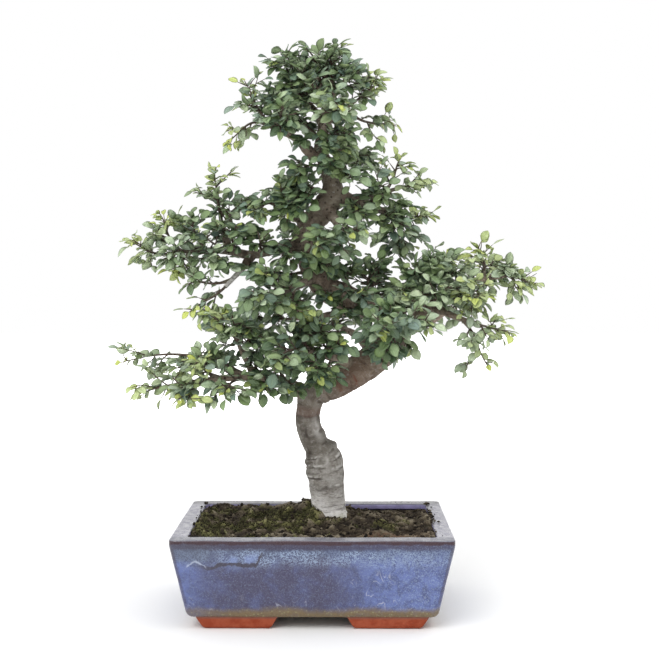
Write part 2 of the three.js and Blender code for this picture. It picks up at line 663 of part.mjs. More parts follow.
function buildBonsai() {
  const plans = Object.entries(SPRAYS).map(([name, row], index) => planSpray(name, row, index + 1));
  const wood = makeWood(plans);
  const crowd = new Crowd();
  crowd.add('wood', wood, 'wood');
  const bonsai = new THREE.Group();
  bonsai.add(toMesh('pot', makePot(), MATERIALS.glaze));
  bonsai.add(toMesh('drain_screen_left', makeScreen(-DRAIN_OFFSET), MATERIALS.screen));
  bonsai.add(toMesh('drain_screen_right', makeScreen(DRAIN_OFFSET), MATERIALS.screen));
  bonsai.add(toMesh('soil', makeSoil(), MATERIALS.soil));
  bonsai.add(toMesh('trunk_and_branches', wood, MATERIALS.bark));
  for (const [name, solid] of Object.entries(makeSprays(plans, crowd))) {
    bonsai.add(toMesh(`spray_${name}`, solid, MATERIALS.leaf));
  }
  return bonsai;
}

// The origin is under the middle of the whole plant, on the surface that the pot stands on.
const bonsai = buildBonsai();
const extent = new THREE.Box3().setFromObject(bonsai);
const middle = extent.getCenter(new THREE.Vector3());
bonsai.position.set(-middle.x, -middle.y, -extent.min.z);

export default bonsai;
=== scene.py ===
"""A zelkova bonsai in its glazed pot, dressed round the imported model.

Every shape is worked out in millimetres in the pot's own frame: the middle of the pot's
footprint is x = y = 0, the surface that it stands on is z = 0, and the front faces -Y.
"""

from __future__ import annotations

import logging
import math
from dataclasses import dataclass, field
from enum import Enum

import bpy
import numpy as np
import numpy.typing as npt
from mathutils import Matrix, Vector

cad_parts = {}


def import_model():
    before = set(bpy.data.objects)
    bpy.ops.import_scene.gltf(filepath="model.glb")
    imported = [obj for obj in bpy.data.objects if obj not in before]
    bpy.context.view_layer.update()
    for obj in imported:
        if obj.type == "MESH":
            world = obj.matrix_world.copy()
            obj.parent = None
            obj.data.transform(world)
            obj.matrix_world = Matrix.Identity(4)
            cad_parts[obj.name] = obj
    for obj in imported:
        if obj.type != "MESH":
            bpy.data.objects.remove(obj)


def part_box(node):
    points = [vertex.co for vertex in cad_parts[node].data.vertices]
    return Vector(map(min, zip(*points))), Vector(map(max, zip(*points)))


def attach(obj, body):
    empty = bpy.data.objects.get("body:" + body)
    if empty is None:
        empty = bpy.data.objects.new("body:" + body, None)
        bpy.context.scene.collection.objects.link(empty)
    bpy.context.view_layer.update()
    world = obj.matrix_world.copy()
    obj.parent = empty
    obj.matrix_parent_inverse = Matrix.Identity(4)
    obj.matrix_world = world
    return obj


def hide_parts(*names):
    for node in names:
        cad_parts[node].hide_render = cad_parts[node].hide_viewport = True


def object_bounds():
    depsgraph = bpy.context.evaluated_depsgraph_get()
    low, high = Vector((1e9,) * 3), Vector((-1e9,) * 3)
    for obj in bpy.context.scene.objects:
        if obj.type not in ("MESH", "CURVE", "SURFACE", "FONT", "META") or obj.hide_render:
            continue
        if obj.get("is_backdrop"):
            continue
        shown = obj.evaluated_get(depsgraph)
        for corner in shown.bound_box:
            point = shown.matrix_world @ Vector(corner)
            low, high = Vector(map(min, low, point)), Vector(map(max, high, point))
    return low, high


LOG = logging.getLogger("zelkova_bonsai")

Array = npt.NDArray[np.float64]
IntArray = npt.NDArray[np.int64]
Rows = list[list[float]]
Colour = tuple[float, float, float]
Piece = bpy.types.Object
Material = bpy.types.Material
Socket = bpy.types.NodeSocket

MM = 0.001
STEEP = 0.8
UP, AHEAD, ASIDE = np.array([0.0, 0.0, 1.0]), np.array([0.0, 1.0, 0.0]), np.array([1.0, 0.0, 0.0])


# Geometry helpers


def unit(vectors: Array) -> Array:
    """Scales vectors, along their last axis, to a length of one."""
    return vectors / np.maximum(np.linalg.norm(vectors, axis=-1, keepdims=True), 1e-9)


def smooth_step(low: float, high: float, values: Array) -> Array:
    """Rises from 0 at low to 1 at high with level ends: 3t^2 - 2t^3 of the share t between them."""
    share = np.clip((values - low) / (high - low), 0.0, 1.0)
    return share * share * (3.0 - 2.0 * share)


def hump(values: Array, centre: float, width: float) -> Array:
    """A bell curve of height 1: e to the minus square of the distance from centre over width."""
    return np.exp(-(((values - centre) / width) ** 2))


def circle(count: int, start: float = 0.0) -> Array:
    """Points round a circle of radius one, in two columns, from the angle start on."""
    angle = start + np.arange(count) * 2 * np.pi / count
    return np.stack([np.cos(angle), np.sin(angle)], -1)


def repeated(faces: IntArray, count: int, size: int) -> IntArray:
    """The faces of one shape, for as many copies as count says, of size points each."""
    start = (np.arange(count) * size)[:, None, None]
    return (faces[None] + start).reshape(-1, faces.shape[1])


class Noise:
    """Smooth value noise on a seeded lattice, the same in every run."""

    def __init__(self, seed: int, size: int = 32) -> None:
        """Draws the lattice.

        Args:
            seed: the number that the lattice is drawn from.
            size: the cells after which the lattice repeats.
        """
        self.size = size
        self.lattice = np.random.default_rng(seed).uniform(-1.0, 1.0, (size, size, size))

    def layer(self, points: Array) -> Array:
        """One octave: the eight lattice values round each point, mixed by smoothed shares of the cell.

        Args:
            points: places in space, in cells.

        Returns:
            The values there, -1 to 1.
        """
        cell = np.floor(points).astype(int)
        share = smooth_step(0.0, 1.0, points - cell)
        low, high = cell % self.size, (cell + 1) % self.size
        total = np.zeros(points.shape[:-1])
        for corner in np.ndindex(2, 2, 2):
            index = tuple(np.where(corner[k], high[..., k], low[..., k]) for k in range(3))
            weights = [share[..., k] if corner[k] else 1.0 - share[..., k] for k in range(3)]
            total += self.lattice[index] * weights[0] * weights[1] * weights[2]
        return total

    def __call__(self, points: Array, octaves: int = 3, gain: float = 0.5) -> Array:
        """Sums octaves, each twice as fine as the last and gain times as strong.

        Args:
            points: places in space, in cells of the coarsest octave.
            octaves: how many layers are summed.
            gain: each layer's strength as a share of the one before.

        Returns:
            The noise, about -1 to 1.
        """
        total, strength, scale = np.zeros(points.shape[:-1]), 1.0, 1.0
        for octave in range(octaves):
            total = total + strength * self.layer(points * scale + 7.3 * octave)
            strength, scale = strength * gain, scale * 2.0
        return total


class SeededStream:
    """The stream of numbers from 0 to 1 that the tree's own twigs are drawn from."""

    MASK = 0xFFFFFFFF
    STEP = 0x6D2B79F5

    def __init__(self, seed: int) -> None:
        """Starts the stream at a whole number."""
        self.state = seed & self.MASK

    def between(self, low: float, high: float) -> float:
        """Draws the next number.

        Args:
            low: the least that it can be.
            high: the most.

        Returns:
            The number.
        """
        self.state = (self.state + self.STEP) & self.MASK
        mixed = self.state
        mixed = ((mixed ^ (mixed >> 15)) * (mixed | 1)) & self.MASK
        mixed ^= (mixed + (((mixed ^ (mixed >> 7)) * (mixed | 61)) & self.MASK)) & self.MASK
        return low + (high - low) * ((mixed ^ (mixed >> 14)) & self.MASK) / (self.MASK + 1.0)


class Path:
    """A curve held as closely spaced points, read by its share of length."""

    def __init__(self, points: Array, values: Array | None = None) -> None:
        """Measures the curve.

        Args:
            points: points along it, close enough to count as straight between.
            values: a number to carry along the curve, such as its radius, one a point.
        """
        self.points = points
        self.values = values
        steps = np.linalg.norm(np.diff(points, axis=0), axis=1)
        self.run = np.concatenate([[0.0], np.cumsum(steps)])
        self.length = float(self.run[-1])

    def at(self, shares: Array | float) -> Array:
        """Points at shares of the length, read straight between the held points."""
        run = np.asarray(shares, dtype=float) * self.length
        return np.stack([np.interp(run, self.run, self.points[:, k]) for k in range(3)], axis=-1)

    def value(self, shares: Array | float) -> Array:
        """The carried number at shares of the length."""
        return np.interp(np.asarray(shares, dtype=float) * self.length, self.run, self.values)

    def along(self, shares: Array | float) -> Array:
        """Unit tangents at shares of the length, from points a little before and after."""
        middle = np.asarray(shares, dtype=float)
        return unit(self.at(np.minimum(middle + 0.004, 1.0)) - self.at(np.maximum(middle - 0.004, 0.0)))

    @classmethod
    def through(cls, rows: Rows, samples: int = 48) -> "Path":
        """A centripetal Catmull-Rom spline through rows of x, y, z and radius.

        Each span is the cubic whose end slopes come from its neighbours, with knots spaced by
        the square root of the distance between points. Radii are read straight between rows.

        Args:
            rows: the points and radii.
            samples: held points for each span.

        Returns:
            The path, carrying the radius.
        """
        points = np.array(rows, dtype=float)[:, :3]
        before, after = 2 * points[0] - points[1], 2 * points[-1] - points[-2]
        knots = np.vstack([before, points, after])
        share = np.linspace(0.0, 1.0, samples, endpoint=False)[:, None]
        spans: list[Array] = []
        for p0, p1, p2, p3 in zip(knots[:-3], knots[1:-2], knots[2:-1], knots[3:]):
            d0, d1, d2 = (math.sqrt(math.dist(a, b)) for a, b in ((p0, p1), (p1, p2), (p2, p3)))
            slope1 = ((p1 - p0) / d0 - (p2 - p0) / (d0 + d1) + (p2 - p1) / d1) * d1
            slope2 = ((p2 - p1) / d1 - (p3 - p1) / (d1 + d2) + (p3 - p2) / d2) * d1
            curve = (
                p1 + slope1 * share
                + (3 * (p2 - p1) - 2 * slope1 - slope2) * share**2
                + (2 * (p1 - p2) + slope1 + slope2) * share**3
            )
            spans.append(curve)
        dense = np.vstack(spans + [points[-1:]])
        place = np.arange(len(dense)) / samples
        return cls(dense, np.interp(place, np.arange(len(rows)), [row[3] for row in rows]))

    @classmethod
    def bezier(cls, corners: Array, samples: int = 80) -> "Path":
        """A cubic Bezier curve: its four corners, weighted by the Bernstein shares of t."""
        t = np.linspace(0.0, 1.0, samples)[:, None]
        weights = ((1 - t) ** 3, 3 * t * (1 - t) ** 2, 3 * t**2 * (1 - t), t**3)
        return cls(sum(weight * corner for weight, corner in zip(weights, corners)))


@dataclass
class Skin:
    """A mesh in the making, in millimetres in the pot's frame."""

    points: Array
    quads: IntArray = field(default_factory=lambda: np.zeros((0, 4), dtype=np.int64))
    triangles: IntArray = field(default_factory=lambda: np.zeros((0, 3), dtype=np.int64))
    caps: list[IntArray] = field(default_factory=list)
    uv: Array | None = None
    marks: dict[str, Array] = field(default_factory=dict)
    slot: int = 0

    @staticmethod
    def grid(rows: int, columns: int, wrap: bool) -> IntArray:
        """Quads of a grid of points that are held row by row.

        Args:
            rows: how many rows it has.
            columns: how many points a row has.
            wrap: whether the last column joins the first.

        Returns:
            Four corners a face.
        """
        across = np.arange(columns if wrap else columns - 1)
        low = (np.arange(rows - 1) * columns)[:, None]
        right = (across + 1) % columns
        faces = np.stack([low + across, low + right, low + columns + right, low + columns + across], -1)
        return faces.reshape(-1, 4)


@dataclass
class Assembly:
    """Several skins that become one object."""

    skins: list[Skin]

    def faces(self) -> tuple[IntArray, IntArray, IntArray]:
        """Numbers the faces through all the skins.

        Returns:
            The corners of every face in a row, each face's number of corners, and its material slot.
        """
        corners, counts, slots = [], [], []
        offset = 0
        for skin in self.skins:
            for group in (skin.quads, skin.triangles, *[cap[None] for cap in skin.caps]):
                corners.append((group + offset).ravel())
                counts.append(np.full(len(group), group.shape[1]))
                slots.append(np.full(len(group), skin.slot))
            offset += len(skin.points)
        return np.concatenate(corners), np.concatenate(counts), np.concatenate(slots)

    def build(self, name: str, materials: list[Material], origin: Array) -> Piece:
        """Joins the skins into one Blender object whose own place is the origin.

        Args:
            name: the object's name.
            materials: its material slots, which each skin's slot number points into.
            origin: where the pot's frame lies in the model's frame, in metres.

        Returns:
            The object, shaded smooth.
        """
        points = np.vstack([skin.points for skin in self.skins])
        corners, counts, slots = self.faces()
        mesh = bpy.data.meshes.new(name)
        mesh.vertices.add(len(points))
        mesh.vertices.foreach_set("co", (points * MM + origin).astype(np.float32).ravel())
        mesh.loops.add(len(corners))
        mesh.loops.foreach_set("vertex_index", corners.astype(np.int32))
        mesh.polygons.add(len(counts))
        mesh.polygons.foreach_set("loop_start", (np.cumsum(counts) - counts).astype(np.int32))
        mesh.update(calc_edges=True)
        mesh.polygons.foreach_set("material_index", slots.astype(np.int32))
        if any(skin.uv is not None for skin in self.skins):
            flat = np.vstack([
                np.zeros((len(skin.points), 2)) if skin.uv is None else skin.uv for skin in self.skins
            ])
            layer = mesh.uv_layers.new(name="surface")
            layer.data.foreach_set("uv", flat[corners].astype(np.float32).ravel())
        for mark in sorted({key for skin in self.skins for key in skin.marks}):
            values = np.concatenate([
                skin.marks.get(mark, np.zeros(len(skin.points))) for skin in self.skins
            ])
            attribute = mesh.attributes.new(mark, "FLOAT", "POINT")
            attribute.data.foreach_set("value", values.astype(np.float32))
        for material in materials:
            mesh.materials.append(material)
        mesh.shade_smooth()
        mesh.validate()
        made = bpy.data.objects.new(name, mesh)
        bpy.context.scene.collection.objects.link(made)
        return made


def frames_round(tangents: Array, reference: Array) -> tuple[Array, Array]:
    """Two unit vectors square to each tangent: the reference made square to it, and their cross product."""
    first = unit(reference - (tangents * reference).sum(-1, keepdims=True) * tangents)
    return first, np.cross(tangents, first)


def square_reference(chord: Array) -> Array:
    """A unit vector square to each chord: its cross product with Z, or with X if the chord is steep."""
    return unit(np.cross(chord, np.where(np.abs(chord[..., 2:3]) > STEEP, ASIDE, UP)))


def closed_tubes(
    centres: Array, tangents: Array, reference: Array, radii: Array, ends: tuple[float, float],
    marks: dict[str, Array],
) -> Skin:
    """Closed tubes: a ring of points round each centre, and a point past each end.

    A ring's points are the centre plus the radius times the cosine and sine of the angle along
    two vectors square to the tube.

    Args:
        centres: tubes by stations by 3.
        tangents: the way that each tube runs, in the same layout.
        reference: the direction of side 0, made square to the tube at each station.
        radii: tubes by stations by sides.
        ends: how far the points at the start and the end lie past their rings, in mean radii.
        marks: values by name that stretch over tubes by stations by sides.

    Returns:
        One skin that holds every tube.
    """
    tubes, stations, sides = radii.shape
    first, second = frames_round(tangents, reference)
    around = circle(sides)
    ring = first[:, :, None] * around[:, :1] + second[:, :, None] * around[:, 1:]
    rings = centres[:, :, None] + radii[..., None] * ring
    reach = radii.mean(-1, keepdims=True)
    tail = centres[:, :1] - tangents[:, :1] * reach[:, :1] * ends[0]
    head = centres[:, -1:] + tangents[:, -1:] * reach[:, -1:] * ends[1]
    points = np.concatenate([rings.reshape(tubes, -1, 3), tail, head], axis=1)
    size = points.shape[1]
    turn = np.arange(sides)
    follow, last = (turn + 1) % sides, size - 2 - sides
    caps = np.vstack([
        np.stack([follow, turn, np.full(sides, size - 2)], -1),
        np.stack([last + turn, last + follow, np.full(sides, size - 1)], -1),
    ])
    spread = {}
    for key, value in marks.items():
        full = np.broadcast_to(value, radii.shape).reshape(tubes, -1)
        spread[key] = np.hstack([full, full[:, [0, -sides]]]).ravel()
    quads = repeated(Skin.grid(stations, sides, True), tubes, size)
    return Skin(points.reshape(-1, 3), quads, repeated(caps, tubes, size), marks=spread)


def twig_skins(centres: Array, radii: Array | float, sides: int, **marks: float) -> Skin:
    """Thin round closed tubes, all at once.

    Args:
        centres: tubes by stations by 3.
        radii: tubes by stations, or whatever stretches over them.
        sides: points in a ring.
        marks: values by name, the same all over.

    Returns:
        One skin that holds every tube.
    """
    tangents = unit(np.gradient(centres, axis=1))
    reference = square_reference(unit(centres[:, -1] - centres[:, 0]))[:, None]
    thick = np.repeat(np.broadcast_to(radii, centres.shape[:2])[..., None], sides, -1)
    return closed_tubes(centres, tangents, reference, thick, (0.3, 0.8), marks)


def bark_tube(path: Path, shares: Array, radii: Array, reference: Array, marks: dict[str, Array]) -> Skin:
    """One closed tube of wood along a path, with radii and marks of stations by sides."""
    line, ways = path.at(shares)[None], path.along(shares)[None]
    return closed_tubes(line, ways, reference, radii[None], (0.2, 0.5), marks)


# The tree, in the pot's frame: centre x, y, z and radius along the trunk and each branch.

TRUNK: Rows = [
    [16, 16, 46, 13], [16, 16, 70, 17], [15, 14, 90, 20.5], [15, 13, 102, 19.3], [14, 10, 122, 18.6],
    [12, 8, 148, 18.9], [8, 8, 163, 17.4], [2, 7, 174, 13.8], [-4, 6, 188, 13], [-6, 2, 211, 13.2],
    [-1, 0, 227, 15.4], [19, 0, 238, 17], [45, 4, 250.5, 16.8], [68, 6, 266, 16], [84, 2, 284, 15.6],
    [83, -6, 306, 15], [60, -10, 319, 14.2], [38, -10, 327, 13.6], [18, -8, 336, 12.8], [2, -4, 354, 12.4],
    [-6, 0, 373, 12.2], [-8, 4, 391, 12.4], [-1, 6, 408, 12.6], [12, 6, 425, 12.8], [20, 4, 441, 11.6],
    [16, 0, 459, 8.6], [8, -4, 480, 6.6], [9, -4, 504, 5.2], [15, 0, 529, 3.9], [18, 4, 551, 2.8],
]

LIMBS: dict[str, Rows] = {
    "low_left": [
        [-6, 0, 225, 6.4], [-29, -14, 240, 5.6], [-57, -24, 246, 4.8], [-85, -28, 246, 4],
        [-112, -30, 243, 3.1], [-137, -28, 240, 2.2],
    ],
    "low_left_back": [
        [-72, -26, 246, 3.4], [-94, -2, 257, 2.8], [-117, 12, 264, 2.2], [-137, 20, 266, 1.9],
    ],
    "low_left_rise": [[-60, -24, 246, 3.2], [-69, -30, 263, 2.6], [-77, -32, 280, 1.9]],
    "low_front": [[40, 4, 255, 6.2], [25, -26, 265, 4.8], [5, -52, 272, 3.6], [-13, -72, 277, 2.4]],
    "bend_right": [
        [85, 2, 286, 8], [106, 8, 305, 6.2], [131, 12, 323, 5.2], [157, 12, 338, 4.2], [181, 10, 349, 3.2],
        [201, 8, 351, 2.2],
    ],
    "bend_drop": [[126, 12, 320, 3.8], [142, -8, 311, 3.2], [161, -22, 304, 2.4]],
    "bend_front": [[78, 0, 293, 6], [91, -30, 300, 4.6], [92, -58, 305, 3.2], [86, -76, 308, 2.4]],
    "low_back": [[62, 6, 266, 6.4], [56, 38, 276, 5.2], [42, 72, 287, 4], [28, 100, 293, 2.6]],
    "low_back_right": [[89, 4, 290, 5.4], [110, 36, 294, 4.2], [131, 62, 302, 3.2], [148, 82, 312, 2.2]],
    "mid_back_left": [[55, -8, 320, 5], [32, 24, 313, 4.2], [1, 48, 306, 3.4], [-26, 62, 304, 2.4]],
    "mid_left": [
        [-10, 2, 381, 7], [-34, 10, 382, 5.8], [-64, 18, 374, 5], [-95, 22, 378, 4], [-128, 24, 379, 3],
        [-158, 22, 375, 2.1],
    ],
    "mid_left_drop": [[-67, 18, 373, 3.6], [-79, 2, 356, 3], [-93, -8, 340, 2.2]],
    "mid_left_rise": [[-91, 22, 378, 3.4], [-97, 14, 399, 2.6], [-100, 8, 418, 1.9]],
    "mid_front": [[4, -4, 351, 5.6], [-10, -30, 344, 4.2], [-26, -54, 337, 3], [-37, -68, 333, 2.2]],
    "mid_back": [[-5, 2, 378, 5.4], [4, 34, 387, 4.2], [17, 62, 395, 3.2], [26, 80, 400, 2.4]],
    "high_left": [[-3, 5, 399, 5], [-21, -6, 415, 3.8], [-40, -14, 425, 2.6]],
    "high_right": [[22, 5, 438, 7], [49, 14, 427, 5], [73, 20, 421, 3.8], [94, 22, 414, 2.6]],
    "high_rise": [[40, 10, 432, 4], [64, 26, 438, 3], [88, 32, 445, 2.1]],
    "high_front": [[13, 4, 422, 5.2], [25, -26, 404, 4], [23, -48, 392, 2.8]],
    "high_back": [[18, 2, 449, 4.6], [25, 28, 469, 3.6], [37, 50, 482, 2.4]],
    "top_left": [[2, -4, 474, 5], [-15, -8, 491, 3.8], [-33, -12, 502, 2.9], [-52, -14, 509, 2.2]],
    "top_right": [[13, -2, 514, 3.8], [31, 10, 526, 2.8], [45, 16, 519, 2]],
    "top_front": [[9, -4, 499, 3.8], [15, -22, 509, 2.9], [21, -40, 513, 2]],
    "top_back": [[11, -4, 507, 3.8], [0, 18, 528, 2.9], [-9, 34, 541, 2]],
}

# The sprays, by the branch that they grow from and their own name: how far along it they start,
# the x, y and z that their tip reaches, and how leafy they are where that isn't the usual 1.

SPRAYS: dict[str, dict[str, tuple[float, ...]]] = {
    "low_left": {
        "tip": (1, -195, -24, 225, 0.5), "under": (0.8, -143, -62, 222, 0.6),
        "front": (0.55, -90, -86, 233, 0.8), "crown": (0.7, -126, -52, 270), "inner": (0.3, -52, -66, 236),
    },
    "low_left_back": {"tip": (1, -221, 36, 256, 0.3), "side": (0.62, -154, 70, 238)},
    "low_left_rise": {"tip": (1, -111, -44, 323, 0.6), "side": (0.7, -52, -60, 305)},
    "low_front": {"tip": (1, -43, -112, 268), "side": (0.75, 9, -104, 248), "rise": (0.42, -4, -74, 312)},
    "bend_right": {
        "tip": (1, 242, 6, 340, 0.7), "rise": (0.84, 169, -4, 390), "back": (0.74, 206, 58, 368),
        "fore": (0.6, 168, -48, 327), "crown": (0.5, 131, 18, 382),
    },
    "bend_drop": {"tip": (1, 212, -40, 290, 0.5), "hang": (0.85, 182, -46, 251, 0.2)},
    "bend_front": {"tip": (1, 57, -124, 292), "right": (0.85, 120, -104, 306), "rise": (0.6, 90, -74, 343)},
    "low_back": {"tip": (1, 3, 150, 304), "left": (0.8, -23, 112, 279)},
    "low_back_right": {"tip": (1, 186, 128, 325), "side": (0.7, 119, 118, 325)},
    "mid_back_left": {"tip": (1, -81, 88, 305), "rise": (0.75, -38, 88, 337)},
    "mid_left": {
        "tip": (1, -208, 26, 391, 0.6), "under": (0.82, -156, 42, 346), "crown": (0.9, -169, 10, 427, 0.7),
        "back": (0.55, -135, 82, 403),
    },
    "mid_left_drop": {"tip": (1, -137, -26, 308, 0.5)},
    "mid_left_rise": {"tip": (1, -108, 0, 474, 0.65), "side": (0.6, -65, -14, 435)},
    "mid_front": {"tip": (1, -67, -104, 337), "side": (0.6, -13, -92, 310)},
    "mid_back": {"tip": (1, 43, 124, 381, 0.4), "side": (0.7, -34, 104, 411)},
    "high_left": {"tip": (1, -72, -34, 415), "rise": (0.6, -39, -20, 458)},
    "high_right": {"tip": (1, 136, 26, 417, 0.5), "drop": (0.8, 101, 22, 367)},
    "high_rise": {"tip": (1, 135, 38, 455, 0.35), "crown": (0.75, 97, 26, 488, 0.5)},
    "high_front": {"tip": (1, -1, -84, 377), "side": (0.6, 53, -72, 395, 0.6)},
    "high_back": {"tip": (1, 64, 88, 484)},
    "top_left": {"tip": (1, -97, -22, 485, 0.3), "rise": (0.85, -77, -8, 563, 0.7)},
    "top_right": {"tip": (1, 97, 22, 509, 0.45), "rise": (0.5, 81, 26, 565)},
    "top_front": {"tip": (1, 23, -84, 527)},
    "top_back": {"tip": (1, -30, 72, 565)},
    "trunk": {"apex_tip": (1, 17, 8, 600)},
}

# Leafy shoots that fill the crown along the branches, in the same way but numbered.

INNER_SPRAYS: dict[str, list[tuple[float, ...]]] = {
    "trunk": [
        (0.5, 104, -46, 345), (0.53, 72, 58, 340), (0.545, 78, 14, 360), (0.55, 72, 10, 377),
        (0.56, 48, -66, 338), (0.585, 44, -20, 370), (0.6, 48, -44, 304), (0.63, 22, -44, 322),
        (0.665, -52, -16, 330), (0.675, 0, -46, 362), (0.68, 22, 58, 352), (0.69, 23, -46, 357),
        (0.7, -32, -46, 366), (0.775, -46, 46, 440), (0.8, -38, -12, 446), (0.84, 48, -40, 451),
        (0.88, 36, -46, 478), (0.885, 19, -40, 487), (0.885, 34, 46, 510), (0.9, 48, -22, 497),
        (0.905, -40, 22, 521), (0.94, -6, -48, 552), (0.94, 36, -34, 533), (0.955, -48, -10, 549),
        (0.965, 10, 48, 575), (0.97, 55, -12, 570), (0.975, -54, -8, 576), (0.985, -34, 4, 586),
        (0.985, -8, 6, 594), (0.87, 28, -36, 457), (0.86, -26, -34, 450), (0.79, -30, -36, 414),
        (0.43, 81, -36, 269),
    ],
    "top_left": [(0.45, -52, 14, 541), (0.6, -30, -58, 528), (0.5, -31, -30, 513), (0.25, -8, -26, 494)],
    "high_left": [(0.35, -28, -46, 428)],
    "high_right": [
        (0.3, 46, -30, 415), (0.45, 72, -30, 452), (0.5, 60, 70, 436), (0.6, 92, -22, 396),
        (0.7, 101, -6, 428),
    ],
    "mid_left": [
        (0.28, -54, -34, 392), (0.4, -56, -8, 344), (0.5, -78, -26, 410), (0.62, -104, -28, 362),
        (0.72, -132, -6, 422), (0.85, -151, -20, 374),
    ],
    "mid_left_drop": [(0.8, -143, 4, 343, 0.35)],
    "mid_front": [(0.7, -62, -72, 362)],
    "bend_right": [
        (0.3, 112, -12, 362), (0.36, 124, -50, 338), (0.4, 88, -20, 364), (0.5, 117, -18, 379),
        (0.62, 133, 4, 377), (0.75, 157, -30, 347), (0.92, 213, -8, 365),
    ],
    "low_front": [(0.45, 9, -60, 236), (0.6, 34, -76, 288), (0.7, -28, -60, 300)],
    "low_left": [
        (0.15, -21, -52, 234), (0.22, -34, -40, 272), (0.42, -58, -34, 284), (0.6, -96, -8, 278),
        (0.75, -122, -18, 283), (0.8, -144, -52, 232),
    ],
    "low_left_rise": [(0.85, -84, -62, 318)],
    "bend_front": [(0.5, 56, -72, 318), (0.3, 60, -52, 264), (0.25, 106, -26, 268, 0.25)],
}


@dataclass(frozen=True)
class Spray:
    """One leafy shoot: its branch, how far along it, where its tip reaches, and how leafy it is."""

    limb: str
    share: float
    tip: Array
    fullness: float = 1.0


def every_spray() -> dict[str, Spray]:
    """Reads the tables of sprays.

    Returns:
        The named sprays, then the inner ones, by full name.
    """
    rows = {
        name if limb == "trunk" else f"{limb}_{name}": (limb, row)
        for limb, sprays in SPRAYS.items() for name, row in sprays.items()
    }
    for limb, inner in INNER_SPRAYS.items():
        rows.update({f"inner_{limb}_{number}": (limb, row) for number, row in enumerate(inner, start=1)})
    return {
        name: Spray(limb, row[0], np.array(row[1:4], dtype=float), *row[4:])
        for name, (limb, row) in rows.items()
    }


# Finishes


Feed = Socket | float | Colour
NOISE_SPAN = (0.3, 0.7)


